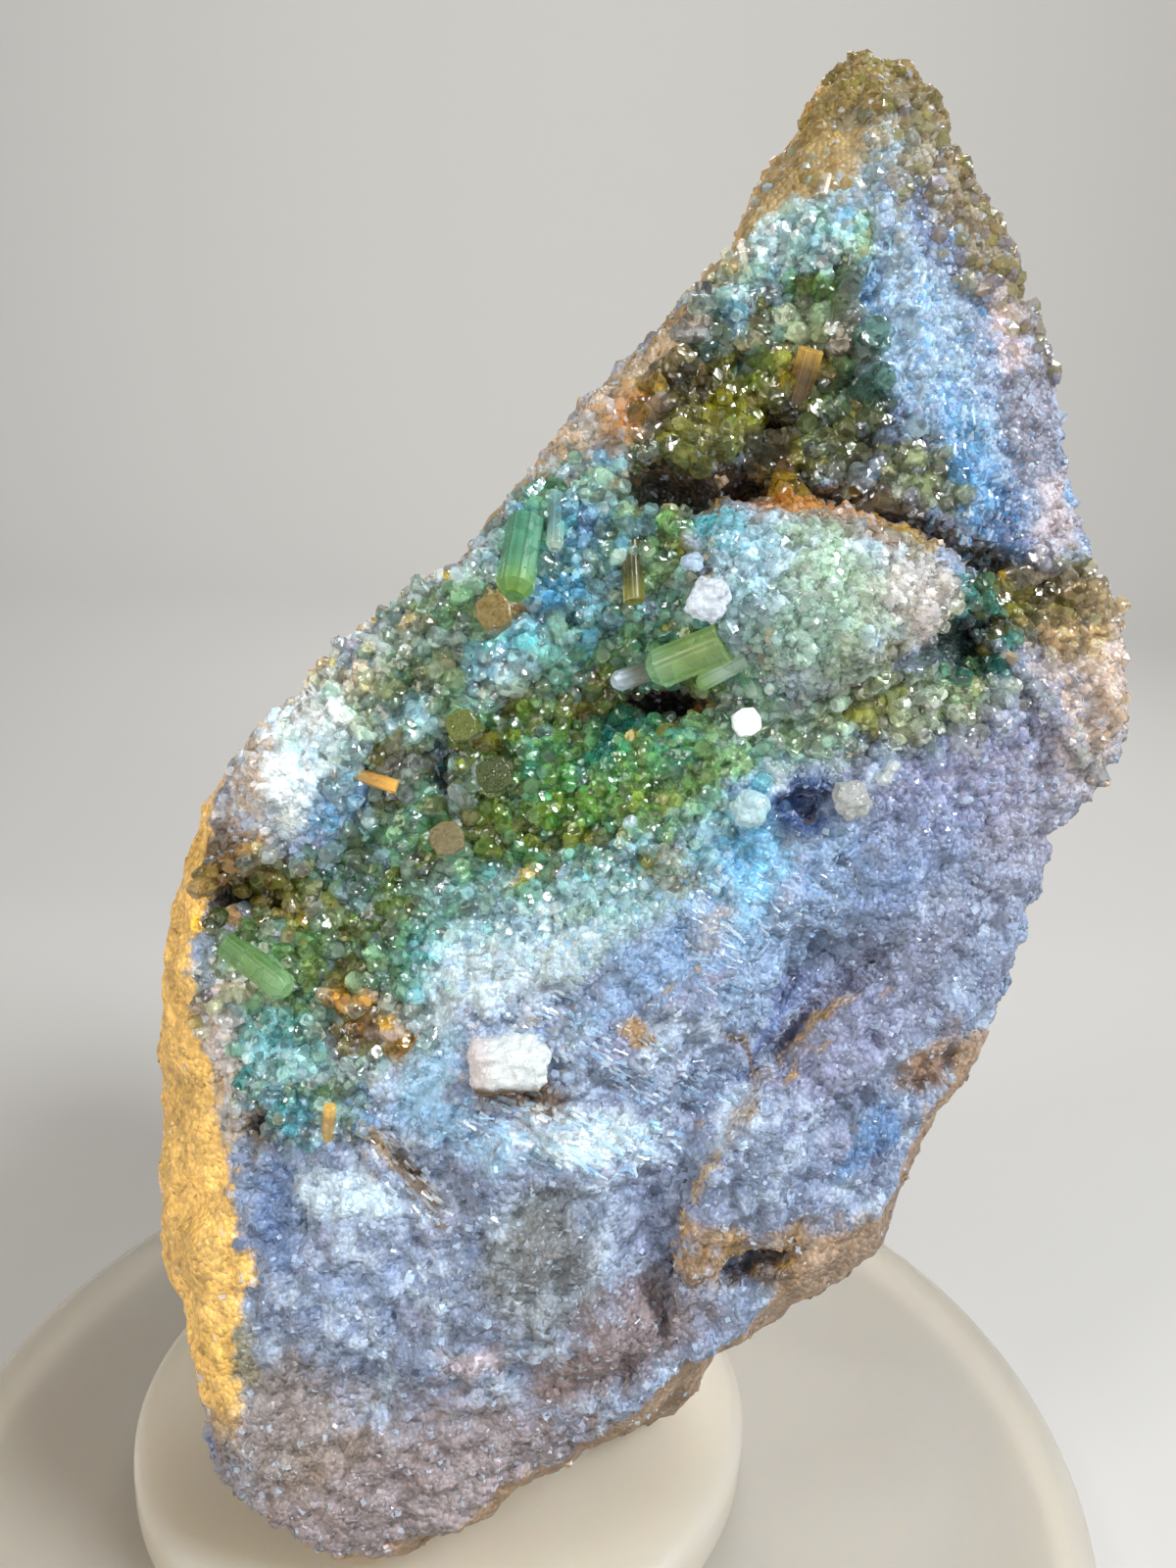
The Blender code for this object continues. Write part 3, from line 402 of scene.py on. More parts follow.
# Clear small crystals all over the pale block: how many, their width in mm and their colours
BLOCK_CRYSTALS = (3400, 0.6, (WHITE, WHITE, SUGAR, tint(164, 196, 176)))

# White fibres that lie on the rock: oval, how many, width and length in mm, the way they run in degrees, colours
FIBRE_FIELDS = (
    ((4.0, 33.6, 6.0, 1.8, -10), 260, 0.20, 0.75, -22, (WHITE, WHITE, PALE_SKY)),
    ((7.6, 38.4, 7.0, 1.8, -24), 130, 0.18, 0.75, -28, (SUGAR, WHITE, PALE_SKY)),
    ((-6.0, 30.4, 3.6, 1.8, -40), 90, 0.18, 0.7, -46, (SUGAR, TAN, WHITE)),
    ((14.0, 46.6, 6.0, 3.0, 40), 120, 0.17, 0.7, -30, (SUGAR, PALE_SKY, WHITE)),
    ((24.0, 79.6, 12.0, 2.6, 112), 220, 0.18, 0.7, 80, (SUGAR, PALE_SKY, WHITE)),
)

PRISMS = (
    ("prism_upper_left", (-0.1, 69.6, 0.5), (-0.5, 65.7, 2.3), 2.4, "green", tint(84, 142, 116), tint(110, 144, 56)),
    ("prism_upper_left_companion", (1.8, 71.0, 0.5), (1.8, 68.6, 1.5), 1.1, "pale", tint(112, 148, 150), PALE_GREEN),
    ("prism_yellow_upright", (6.4, 68.2, 0.5), (6.6, 65.6, 1.6), 1.3, "golden", tint(70, 70, 28), tint(118, 116, 50)),
    ("prism_centre", (11.0, 63.0, 1.8), (7.8, 61.6, 2.8), 2.6, "green", tint(132, 162, 98), tint(142, 186, 152)),
    ("prism_centre_small_upper", (12.5, 62.0, 1.0), (10.6, 60.9, 2.4), 1.1, "green", PALE_GREEN, BRIGHT_GREEN),
    ("prism_centre_small_lower", (13.5, 61.3, 0.7), (14.0, 60.3, 1.8), 1.1, "green", SEA_GREEN, PALE_GREEN),
    ("prism_centre_white", (7.4, 61.6, 0.6), (5.6, 60.9, 1.8), 1.3, "pale", tint(150, 150, 140), SUGAR),
    ("prism_lower_left", (-17.0, 43.3, 0.6), (-13.5, 41.6, 1.9), 1.9, "green", tint(96, 138, 78), tint(128, 168, 120)),
    ("prism_golden_hollow", (16.5, 79.6, 0.7), (16.9, 81.5, 1.8), 1.7, "golden", BROWN, GOLD),
    ("prism_golden_middle", (-9.2, 54.6, 0.6), (-7.4, 54.1, 1.6), 0.9, "golden", AMBER, GOLD),
    ("prism_golden_low", (-10.8, 33.4, 0.5), (-10.6, 34.8, 1.1), 0.8, "golden", AMBER, GOLD),
)
END_FACES = {
    "crystal_brown_upper": (tint(130, 112, 60), "brown_crystal"),
    "crystal_brown_lower": (tint(128, 116, 80), "brown_crystal"),
    # Near full white: the end's own white with a painted highlight on its face.
    "crystal_white_end": (tint(236, 255, 255), "pale_crystal"),
    "crystal_olive_upper": (tint(98, 108, 34), "green_crystal"),
    "crystal_olive_lower": (tint(62, 76, 22), "green_crystal"),
}
BLOCKS = {
    "white_block_on_pale_rock": tint(206, 216, 226),
    "white_block_top": tint(176, 198, 218),
    "white_block_under_left": tint(182, 212, 218),
    "white_block_under_right": tint(176, 180, 178),
    "white_block_right": tint(210, 220, 222),
    "white_block_low": tint(222, 230, 232),
}


class RockSettings(bpy.types.PropertyGroup):
    detail: bpy.props.FloatProperty(
        name="Detail", description="Spacing of the back's points, three times the front's", default=0.92 * MM,
        unit="LENGTH",
    )
    plain: bpy.props.FloatVectorProperty(
        name="Matrix", description="Colour of the plain matrix", default=MATRIX, subtype="COLOR"
    )
    # The flank colour is the flank's ochre stain with painted warm light from the left.
    flank: bpy.props.FloatVectorProperty(
        name="Flank", description="Colour of the stained left flank", default=FLANK_OCHRE_WARM_LIT, subtype="COLOR"
    )
    back: bpy.props.FloatVectorProperty(
        name="Back", description="Colour of the back", default=tint(148, 142, 138), subtype="COLOR"
    )


class CrystalSettings(bpy.types.PropertyGroup):
    clearness: bpy.props.FloatProperty(
        name="Clearness", description="Share of light that passes", default=0.7, subtype="FACTOR"
    )
    seed: bpy.props.IntProperty(name="Seed", description="Which scatter of small crystals", default=3)


class GrainSettings(bpy.types.PropertyGroup):
    count: bpy.props.IntProperty(name="Count", description="How many fine grains the front has", default=13000)
    width: bpy.props.FloatProperty(
        name="Width", description="Width of a fine grain", default=0.5 * MM, unit="LENGTH"
    )


class StageSettings(bpy.types.PropertyGroup):
    focal_length: bpy.props.FloatProperty(name="Lens", description="Focal length in mm", default=28.125)
    floor_colour: bpy.props.FloatVectorProperty(
        name="Floor", description="Colour of the floor", default=(0.60, 0.59, 0.57), subtype="COLOR"
    )


def deselect():
    if bpy.context.mode != "OBJECT":
        bpy.ops.object.mode_set(mode="OBJECT")
    bpy.ops.object.select_all(action="DESELECT")


def pick(obj):
    """Makes this object the only selected one and the active one."""
    deselect()
    obj.select_set(True)
    bpy.context.view_layer.objects.active = obj
    return obj


def settle(obj, kind, **values):
    """Adds a modifier and applies it."""
    pick(obj)
    bpy.ops.object.modifier_add(type=kind)
    modifier = obj.modifiers[-1]
    for key, value in values.items():
        setattr(modifier, key, value)
    bpy.ops.object.modifier_apply(modifier=modifier.name)


def displace(obj, kind, size, strength, group="", **values):
    """Pushes the surface in and out by a procedural pattern, where a group of its points says if one is named."""
    texture = bpy.data.textures.new(f"{obj.name} {kind.lower()} {size / MM:.1f}", kind)
    texture.noise_scale = size
    for key, value in values.items():
        setattr(texture, key, value)
    settle(
        obj,
        "DISPLACE",
        texture=texture,
        strength=strength,
        mid_level=0.5,
        texture_coords="LOCAL",
        vertex_group=group,
    )


def weigh(obj, name, weights):
    """A group of the object's points, each with its own weight."""
    group = obj.vertex_groups.new(name=name)
    steps = np.round(np.clip(weights, 0, 1) * 20).astype(int)
    for step in range(1, 21):
        group.add(np.flatnonzero(steps == step).tolist(), step / 20, "REPLACE")


def copy_of_node(node, name):
    """A copy of a CAD node's mesh as a new piece, its doubles merged."""
    obj = bpy.data.objects.new(name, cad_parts[node].data.copy())
    bpy.context.collection.objects.link(obj)
    pick(obj)
    bpy.ops.object.mode_set(mode="EDIT")
    bpy.ops.mesh.select_all(action="SELECT")
    bpy.ops.mesh.remove_doubles(threshold=1e-5)
    bpy.ops.object.mode_set(mode="OBJECT")
    obj.data.materials.clear()
    return obj


def hand_over(piece, body, material, slot, *nodes):
    """Gives a finished piece its finish, puts it on its body, and hides the CAD nodes it takes the place of."""
    piece.data.materials.append(material)
    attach(piece, body)
    if nodes:
        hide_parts(*nodes)


def points_of(mesh):
    points = np.empty(len(mesh.vertices) * 3, np.float32)
    mesh.vertices.foreach_get("co", points)
    return points.reshape(-1, 3).astype(float)


def normals_of(mesh):
    normals = np.empty(len(mesh.vertices) * 3, np.float32)
    mesh.vertices.foreach_get("normal", normals)
    return normals.reshape(-1, 3).astype(float)


def on_face(points):
    """Points of the model as x, y, z on the rock's face, in mm."""
    matrix = np.array(TO_FACE)
    return points @ matrix[:3, :3].T + matrix[:3, 3]


def smooth_step(values):
    share = np.clip(values, 0, 1)
    return share * share * (3 - 2 * share)


def oval_fraction(x, z, oval):
    """0 at an oval's middle and 1 on its edge."""
    centre_x, centre_z, half_length, half_width, turn = oval
    angle = math.radians(turn)
    along = (x - centre_x) * math.cos(angle) + (z - centre_z) * math.sin(angle)
    across = (z - centre_z) * math.cos(angle) - (x - centre_x) * math.sin(angle)
    return np.hypot(along / half_length, across / half_width)


def oval_mask(x, z, oval, edge=0.35, ripple=0.0):
    """1 inside an oval, falling to 0 over its edge."""
    return smooth_step((1 + edge - oval_fraction(x, z, oval) - ripple) / (2 * edge))


def line_distance(x, z, corners):
    """Distance in mm to a line of points, and the side of it: positive on its right as it is drawn."""
    nearest = np.full(x.shape, 1e9)
    side = np.zeros(x.shape)
    for (ax, az), (bx, bz) in zip(corners, corners[1:]):
        dx, dz = bx - ax, bz - az
        along = np.clip(((x - ax) * dx + (z - az) * dz) / (dx * dx + dz * dz), 0, 1)
        distance = np.hypot(x - ax - along * dx, z - az - along * dz)
        turned = np.sign((z - az) * dx - (x - ax) * dz)
        side = np.where(distance < nearest, -turned, side)
        nearest = np.minimum(nearest, distance)
    return nearest, side


def on_pale_block(x, z, ripple):
    """1 on the pale block under the upper hollow, 0 off it."""
    distance, side = line_distance(x, z, (*PALE_BLOCK, PALE_BLOCK[0]))
    return smooth_step((distance * side + ripple) / 1.2 + 0.4)


def in_hole(x, z):
    """1 in the deep holes and cracks, 0 elsewhere."""
    share = np.zeros(x.shape)
    for *oval, depth, _ in FINE_RELIEF:
        if depth >= HOLE_DEPTH:
            share = np.maximum(share, smooth_step((1.1 - oval_fraction(x, z, oval)) * 3))
    return share


def noise_at(points, size, seed):
    """Smooth noise from -1 to 1 at points in mm."""
    shift = Vector((seed * 17.3, seed * 5.1, seed * 9.7))
    return np.array([noise.noise(Vector(point) / size + shift) for point in points])


def warp_at(points, size, seed):
    """A smooth random shift for points in mm, each part of it from -1 to 1."""
    shift = Vector((seed * 3.1, seed * 11.7, seed * 7.9))
    return np.array([noise.noise_vector(Vector(point) / size + shift) for point in points])


def bare_sides(x, z, ripple):
    """Where the stone is a worn side and not its sugary front: the left flank, the peak's flank, the underside."""
    flank_x, flank_z = zip(*((x_at, z_at) for x_at, z_at in FLANK_EDGE))
    left = smooth_step((np.interp(z, flank_z, flank_x) - x + ripple) / 0.9 + 0.5)
    left *= smooth_step((58 - z) / 4) * smooth_step((z - 10) / 5)
    peak = smooth_step((z - np.interp(x, *zip(*PEAK_EDGE)) + ripple) / 0.9 + 0.5)
    peak *= smooth_step((20.5 - x) / 2) * smooth_step((97 - z) / 4) * smooth_step((x - 8) / 3)
    under = smooth_step((np.interp(x, *zip(*UNDER_EDGE)) - z + ripple) / 0.9 + 0.5)
    return left, peak, under


def rock_tone(points, normals):
    """The stone's colour at points of the model, from its listed ovals and some noise."""
    settings = bpy.context.scene.specimen_rock
    place = on_face(points)
    facing = normals @ FACE_TURN
    x, _, z = (place + 1.5 * warp_at(place, 4.5, 1) + 0.7 * warp_at(place, 1.6, 2)).T
    coarse = noise_at(place, 6.0, 1)
    medium = noise_at(place, 2.0, 2)
    fine = noise_at(place, 0.7, 3)
    colours = np.array(settings.plain) * (1 + 0.20 * coarse + 0.22 * medium + 0.18 * fine)[:, None]
    # Patches of sugar, slate and lilac over the matrix; the dark slate patches are painted shade between the lumps.
    for colour, amount, seed in ((SUGAR, 1.7, 4), (SHADOW_SLATE, 1.0, 5), (LILAC, 0.7, 6)):
        patch = smooth_step(amount * (noise_at(place, 2.6, seed) + 0.8 * fine))[:, None]
        colours = colours * (1 - 0.8 * patch) + np.array(colour) * 0.8 * patch
    ripple = 0.35 * medium + 0.4 * fine
    for x_mid, z_mid, half_length, half_width, turn, colour, strength in ROCK_TINTS:
        oval = (x_mid, z_mid, half_length, half_width, turn)
        mask = (strength * oval_mask(x, z, oval, 0.45, ripple))[:, None]
        shade = (1 + 0.3 * medium + 0.35 * fine)[:, None]
        colours = colours * (1 - mask) + np.array(colour) * shade * mask
    pale = 0.85 * on_pale_block(x, z, 0.6 * ripple)[:, None] * smooth_step((27 - x) / 3)[:, None]
    mosaic = np.array(PALE_BLOCK_TONE) * (1 + 0.2 * medium + 0.5 * fine)[:, None]
    colours = colours * (1 - pale) + mosaic * pale
    for x_mid, z_mid, half_length, half_width, turn, colour, strength in BLOCK_TINTS:
        mask = strength * oval_mask(x, z, (x_mid, z_mid, half_length, half_width, turn), 0.45, ripple)[:, None]
        colours = colours * (1 - mask) + np.array(colour) * (1 + 0.4 * fine)[:, None] * mask
    # Painted shade: the deep holes and cracks are darkened towards dark brown.
    hole_shade = 0.7 * in_hole(x, z)[:, None]
    colours = colours * (1 - hole_shade) + np.array(SHADE_BROWN) * hole_shade
    # The bare sides take their colours: the left flank its ochre with painted warm light from the left, the underside
    # its tan with painted shade and warm light from below, the peak's flank its yellow-tan.
    left, peak, under = bare_sides(x, z, 0.8 * fine)
    for mask, colour in ((left, settings.flank), (peak, PEAK_SIDE), (under, UNDERSIDE_WARM_SHADE)):
        bare = np.array(colour) * (1 + 0.25 * coarse + 0.3 * medium + 0.2 * fine)[:, None]
        colours = colours * (1 - 0.92 * mask[:, None]) + bare * 0.92 * mask[:, None]
    # Faces turned to the left take the flank colour with its painted warm light; faces turned down take the underside
    # colour with its painted shade.
    front = smooth_step(-facing[:, 1] * 1.8 + 0.1 + 0.3 * fine)[:, None]
    left = smooth_step(-facing[:, 0] * 1.9 - 0.2 + 0.35 * medium + 0.4 * coarse)[:, None]
    low = smooth_step(-facing[:, 2] * 1.4 + 0.1 + 0.4 * medium)[:, None]
    shade = (1 + 0.22 * coarse + 0.2 * medium + 0.16 * fine)[:, None]
    side = np.array(settings.flank) * left + np.array(settings.back) * (1 - left)
    side = side * (1 - low) + np.array(UNDERSIDE_WARM_SHADE) * low
    for colour, size, seed in ((BACK_GREY, 9.0, 7), (CREAM, 5.0, 13), (DUSK, 2.6, 14)):
        patch = smooth_step(2.4 * noise_at(place, size, seed) + 0.9 * medium + 0.5 * fine)[:, None]
        patch *= 0.6 * (1 - 0.7 * left)
        side = side * (1 - patch) + np.array(colour) * patch
    return colours * front + side * shade * (1 - front)


def paint(obj, colours):
    """Writes one colour for each point."""
    attribute = obj.data.color_attributes.new("tone", "FLOAT_COLOR", "POINT")
    rgba = np.ones((len(colours), 4), np.float32)
    rgba[:, :3] = np.clip(colours, 0.0, 1.0)
    attribute.data.foreach_set("color", rgba.ravel())


def node(tree, kind, place=(0, 0), **values):
    made = tree.nodes.new(kind)
    made.location = place
    for key, value in values.items():
        setattr(made, key, value)
    return made


def facet_group():
    """Small flat facets, each tilted its own way: a height for a Bump, and a different shade for each."""
    if "Sugary facets" in bpy.data.node_groups:
        return bpy.data.node_groups["Sugary facets"]
    group = bpy.data.node_groups.new("Sugary facets", "ShaderNodeTree")
    group.interface.new_socket("Scale", in_out="INPUT", socket_type="NodeSocketFloat")
    group.interface.new_socket("Height", in_out="OUTPUT", socket_type="NodeSocketFloat")
    group.interface.new_socket("Shade", in_out="OUTPUT", socket_type="NodeSocketFloat")
    link = group.links.new
    start = node(group, "NodeGroupInput", (-900, 0))
    end = node(group, "NodeGroupOutput", (500, 0))
    place = node(group, "ShaderNodeTexCoord", (-900, -200))
    cells = node(group, "ShaderNodeTexVoronoi", (-640, 0))
    link(place.outputs["Object"], cells.inputs["Vector"])
    link(start.outputs["Scale"], cells.inputs["Scale"])
    apart = node(group, "ShaderNodeVectorMath", (-460, -200), operation="SUBTRACT")
    link(place.outputs["Object"], apart.inputs[0])
    link(cells.outputs["Position"], apart.inputs[1])
    offset = node(group, "ShaderNodeVectorMath", (-300, -200), operation="SCALE")
    link(apart.outputs[0], offset.inputs[0])
    link(start.outputs["Scale"], offset.inputs["Scale"])
    tilt = node(group, "ShaderNodeVectorMath", (-300, 100), operation="SUBTRACT")
    tilt.inputs[1].default_value = (0.5, 0.5, 0.5)
    link(cells.outputs["Color"], tilt.inputs[0])
    height = node(group, "ShaderNodeVectorMath", (-100, 0), operation="DOT_PRODUCT")
    link(offset.outputs[0], height.inputs[0])
    link(tilt.outputs[0], height.inputs[1])
    dome = node(group, "ShaderNodeMath", (100, 0), operation="MULTIPLY_ADD")
    dome.inputs[1].default_value = -0.7
    link(cells.outputs["Distance"], dome.inputs[0])
    link(height.outputs["Value"], dome.inputs[2])
    link(dome.outputs[0], end.inputs["Height"])
    split = node(group, "ShaderNodeSeparateColor", (-100, 200))
    link(cells.outputs["Color"], split.inputs[0])
    link(split.outputs["Red"], end.inputs["Shade"])
    return group


def new_material(name):
    material = bpy.data.materials.new(name)
    material.use_nodes = True
    return material, material.node_tree, material.node_tree.nodes["Principled BSDF"]


def span(tree, source, low, high, place):
    """A value from 0 to 1 stretched between two others."""
    made = node(tree, "ShaderNodeMapRange", place)
    made.inputs["To Min"].default_value = low
    made.inputs["To Max"].default_value = high
    tree.links.new(source, made.inputs["Value"])
    return made.outputs["Result"]


def toned_material(name, grain, height, roughness, variation, clear=0.0, through=0.0, ior=1.55, gloss=0.5):
    """A finish whose colour comes from the piece's painted tone, varied facet by facet. It may let light pass."""
    material, tree, shader = new_material(name)
    link = tree.links.new
    tone = node(tree, "ShaderNodeVertexColor", (-900, 200), layer_name="tone")
    facets = node(tree, "ShaderNodeGroup", (-900, -100), node_tree=facet_group())
    facets.inputs["Scale"].default_value = grain
    # The facet shade varies the colour facet by facet: random tone, and where the variation is large a painted
    # stand-in for sparkle and inner reflections.
    shaded = node(tree, "ShaderNodeVectorMath", (-480, 200), operation="SCALE")
    link(tone.outputs["Color"], shaded.inputs[0])
    link(span(tree, facets.outputs["Shade"], 1 - variation, 1 + variation, (-700, 40)), shaded.inputs["Scale"])
    link(shaded.outputs[0], shader.inputs["Base Color"])
    link(span(tree, facets.outputs["Shade"], *roughness, (-480, -60)), shader.inputs["Roughness"])
    bump = node(tree, "ShaderNodeBump", (-480, -300))
    bump.inputs["Strength"].default_value = 1.0
    bump.inputs["Distance"].default_value = height
    link(facets.outputs["Height"], bump.inputs["Height"])
    link(bump.outputs["Normal"], shader.inputs["Normal"])
    if through:
        ray = node(tree, "ShaderNodeLightPath", (-480, -500))
        link(span(tree, ray.outputs["Is Shadow Ray"], 1.0, 1 - through, (-280, -500)), shader.inputs["Alpha"])
    shader.inputs["Transmission Weight"].default_value = clear
    shader.inputs["IOR"].default_value = ior
    shader.inputs["Specular IOR Level"].default_value = gloss
    return material


def finish_of(name):
    """A finish made on first use."""
    if name in bpy.data.materials:
        return bpy.data.materials[name]
    clearness = bpy.context.scene.specimen_crystals.clearness
    finishes = {
        "Sugary matrix": (3000.0, 0.22 * MM, (0.3, 0.8), 0.3),
        "Sugar grains": (2600.0, 0.05 * MM, (0.15, 0.5), 0.12, 0.3, 0.5, 1.55),
        "Clear grains": (1800.0, 0.05 * MM, (0.1, 0.35), 0.12, 0.5, 0.7, 1.55),
        # The small crystals' large facet variation paints inner reflections and sparkle into their colour.
        "Small crystals": (2300.0, 0.06 * MM, (0.1, 0.3), 0.5, clearness, 0.75, 1.7, 0.6),
        "Striated crystals": (1400.0, 0.02 * MM, (0.18, 0.4), 0.12, 0.5, 0.75, 1.7, 0.35),
        "Crystal ends": (6000.0, 0.02 * MM, (0.2, 0.5), 0.16, 0.2, 0.5, 1.7),
        "White blocks": (2200.0, 0.10 * MM, (0.2, 0.6), 0.08, 0.25, 0.5, 1.55),
    }
    return toned_material(name, *finishes[name])


class SPECIMEN_OT_matrix_rock(bpy.types.Operator):
    """Builds the matrix: a fine skin over the block, its broken relief and its colours"""

    bl_idname = "specimen.matrix_rock"
    bl_label = "Matrix rock"

    def execute(self, context):
        rock = copy_of_node("matrix_rock", "matrix_rock_surface")
        settle(rock, "REMESH", mode="VOXEL", voxel_size=context.scene.specimen_rock.detail)
        settle(rock, "SMOOTH", factor=0.6, iterations=7)
        facing = (normals_of(rock.data) @ FACE_TURN)[:, 1]
        select_faces(rock, lambda face: np.mean(facing[list(face.vertices)]) < -0.3)
        bpy.ops.mesh.subdivide(number_cuts=2)
        bpy.ops.object.mode_set(mode="OBJECT")
        displace(rock, "CLOUDS", 3.6 * MM, 1.5 * MM, noise_depth=2)
        self.carve(rock)
        x, _, z = on_face(points_of(rock.data)).T
        bare = np.maximum.reduce(bare_sides(x, z, 0))
        facing = (normals_of(rock.data) @ FACE_TURN)[:, 1]
        weigh(rock, "sugary", (1 - 0.75 * bare) * (0.45 + 0.55 * smooth_step(-2 * facing + 0.2)))
        displace(rock, "CLOUDS", 1.9 * MM, 1.0 * MM, "sugary", noise_depth=1)
        displace(rock, "VORONOI", 1.3 * MM, -0.85 * MM, "sugary")
        displace(rock, "VORONOI", 0.6 * MM, -0.34 * MM, "sugary")
        displace(rock, "CLOUDS", 0.4 * MM, 0.3 * MM, "sugary", noise_depth=1)
        pick(rock)
        bpy.ops.object.shade_smooth()
        paint(rock, rock_tone(points_of(rock.data), normals_of(rock.data)))
        hand_over(rock, "root", finish_of("Sugary matrix"), "matrix", "matrix_rock")
        return {"FINISHED"}

    def carve(self, rock):
        """Sinks the holes and cracks of the front and raises its blocks."""
        points = points_of(rock.data)
        x, _, z = on_face(points).T
        front = smooth_step(-(normals_of(rock.data) @ FACE_TURN)[:, 1] * 2.0)
        ripple = 0.15 * noise_at(on_face(points), 1.6, 8)
        depth = np.zeros(len(points))
        for *oval, height, flatness in FINE_RELIEF:
            fraction = np.clip(oval_fraction(x, z, oval) + ripple, 0, 1)
            depth += height * (1 - fraction ** (2 * flatness)) ** 2
        depth -= PALE_BLOCK_HEIGHT * on_pale_block(x, z, 2 * ripple)
        distance, side = line_distance(x, z, RIDGE)
        left = smooth_step(distance * side / 0.8 + 0.2) * smooth_step(1.6 - distance / 4.0)
        depth += RIDGE_STEP * left
        folded = oval_mask(x, z, FOLDS, 0.3)
        turn = math.radians(FOLDS[4])
        along, across = x * math.cos(turn) + z * math.sin(turn), z * math.cos(turn) - x * math.sin(turn)
        depth += 1.2 * folded * noise_at(np.stack([along / 3.2, across, 0 * x], axis=1), 2.0, 9)
        inward = np.array((FACE.to_3x3() @ Vector((0, 1, 0))).normalized())
        points += inward * (depth * front * MM)[:, None]
        rock.data.vertices.foreach_set("co", points.astype(np.float32).ravel())
        rock.data.update()


def skin_points(rock, weight, count, chance):
    """Random places on the rock's skin, as points and smooth normals: a place is as likely as its weight says."""
    mesh = rock.data
    mesh.calc_loop_triangles()
    corners = np.empty(len(mesh.loop_triangles) * 3, np.int32)
    mesh.loop_triangles.foreach_get("vertices", corners)
    corners = corners.reshape(-1, 3)
    points, normals = points_of(mesh), normals_of(mesh)
    a, b, c = (points[corners[:, i]] for i in range(3))
    area = np.linalg.norm(np.cross(b - a, c - a), axis=1)
    middle = on_face((a + b + c) / 3)
    facing = normals[corners].mean(axis=1) @ FACE_TURN
    chances = area * weight(middle, facing)
    chosen = chance.choice(len(corners), size=count, p=chances / chances.sum())
    share = chance.dirichlet((1, 1, 1), size=count)
    place = (points[corners[chosen]] * share[:, :, None]).sum(axis=1)
    normal = (normals[corners[chosen]] * share[:, :, None]).sum(axis=1)
    return place, normal / np.linalg.norm(normal, axis=1)[:, None]


def turned_bases(axes, chance):
    """For each axis, a matrix whose third column is that axis, turned about it at random."""
    other = chance.normal(size=axes.shape)
    first = np.cross(other, axes)
    first /= np.linalg.norm(first, axis=1)[:, None]
    return np.stack([first, np.cross(axes, first), axes], axis=2)


def join_copies(name, pattern, places, bases, sizes, colours, foot_shade=1.0):
    """One mesh of many copies of a modelled shape. Each has its place, axes, size and colour, darker at its foot."""
    shape = points_of(pattern.data)
    faces = [list(p.vertices) for p in pattern.data.polygons]
    count = len(places)
    spread = np.einsum("nij,nvj->nvi", bases, shape[None] * sizes[:, None, :]) + places[:, None, :]
    mesh = bpy.data.meshes.new(name)
    mesh.vertices.add(count * len(shape))
    mesh.vertices.foreach_set("co", spread.astype(np.float32).ravel())
    lengths = np.array([len(face) for face in faces])
    corners = np.concatenate(faces)
    steps = np.arange(count) * len(shape)
    mesh.loops.add(count * len(corners))
    mesh.loops.foreach_set("vertex_index", (corners[None] + steps[:, None]).astype(np.int32).ravel())
    starts = np.concatenate([[0], np.cumsum(lengths)[:-1]])
    mesh.polygons.add(count * len(faces))
    mesh.polygons.foreach_set(
        "loop_start", (starts[None] + np.arange(count)[:, None] * len(corners)).astype(np.int32).ravel()
    )
    mesh.update(calc_edges=True)
    mesh.validate()
    mesh.shade_flat()
    obj = bpy.data.objects.new(name, mesh)
    bpy.context.collection.objects.link(obj)
    low, high = shape[:, 2].min(), shape[:, 2].max()
    rise = foot_shade + (1 - foot_shade) * (shape[:, 2] - low) / (high - low)
    paint(obj, (colours[:, None, :] * rise[None, :, None]).reshape(-1, 3))
    return obj


def select_faces(obj, wanted):
    """Selects the faces for which the test is true, and stays in edit mode."""
    pick(obj)
    bpy.ops.object.mode_set(mode="EDIT")
    bpy.ops.mesh.select_mode(type="FACE")
    bpy.ops.mesh.select_all(action="DESELECT")
    bpy.ops.object.mode_set(mode="OBJECT")
    for face in obj.data.polygons:
        face.select = wanted(face)
    bpy.ops.object.mode_set(mode="EDIT")


def model_prism(name, sides, corner, tip, cap):
    """One crystal of width and length 1 along +Z: a prism with cut corners, sloping end faces and a flat tip."""
    deselect()
    bpy.ops.mesh.primitive_cylinder_add(vertices=sides, radius=0.5, depth=1.0, location=(0, 0, 0.5))
    prism = bpy.context.active_object
    prism.name = name
    bpy.ops.object.transform_apply(location=True, rotation=True, scale=True)
    if corner:
        bpy.ops.object.mode_set(mode="EDIT")
        bpy.ops.mesh.select_mode(type="EDGE")
        bpy.ops.mesh.select_all(action="DESELECT")
        bpy.ops.object.mode_set(mode="OBJECT")
        for edge in prism.data.edges:
            low, high = (prism.data.vertices[i].co.z for i in edge.vertices)
            edge.select = abs(low - high) > 0.5
        bpy.ops.object.mode_set(mode="EDIT")
        bpy.ops.mesh.bevel(offset=corner, segments=1)
        bpy.ops.object.mode_set(mode="OBJECT")
    select_faces(prism, lambda face: face.normal.z > 0.9)
    bpy.ops.transform.translate(value=(0, 0, -tip))
    bpy.ops.mesh.extrude_region_move(TRANSFORM_OT_translate={"value": (0, 0, tip)})
    bpy.ops.transform.resize(value=(cap, cap, 1), center_override=(0, 0, 1))
    bpy.ops.object.mode_set(mode="OBJECT")
    return prism


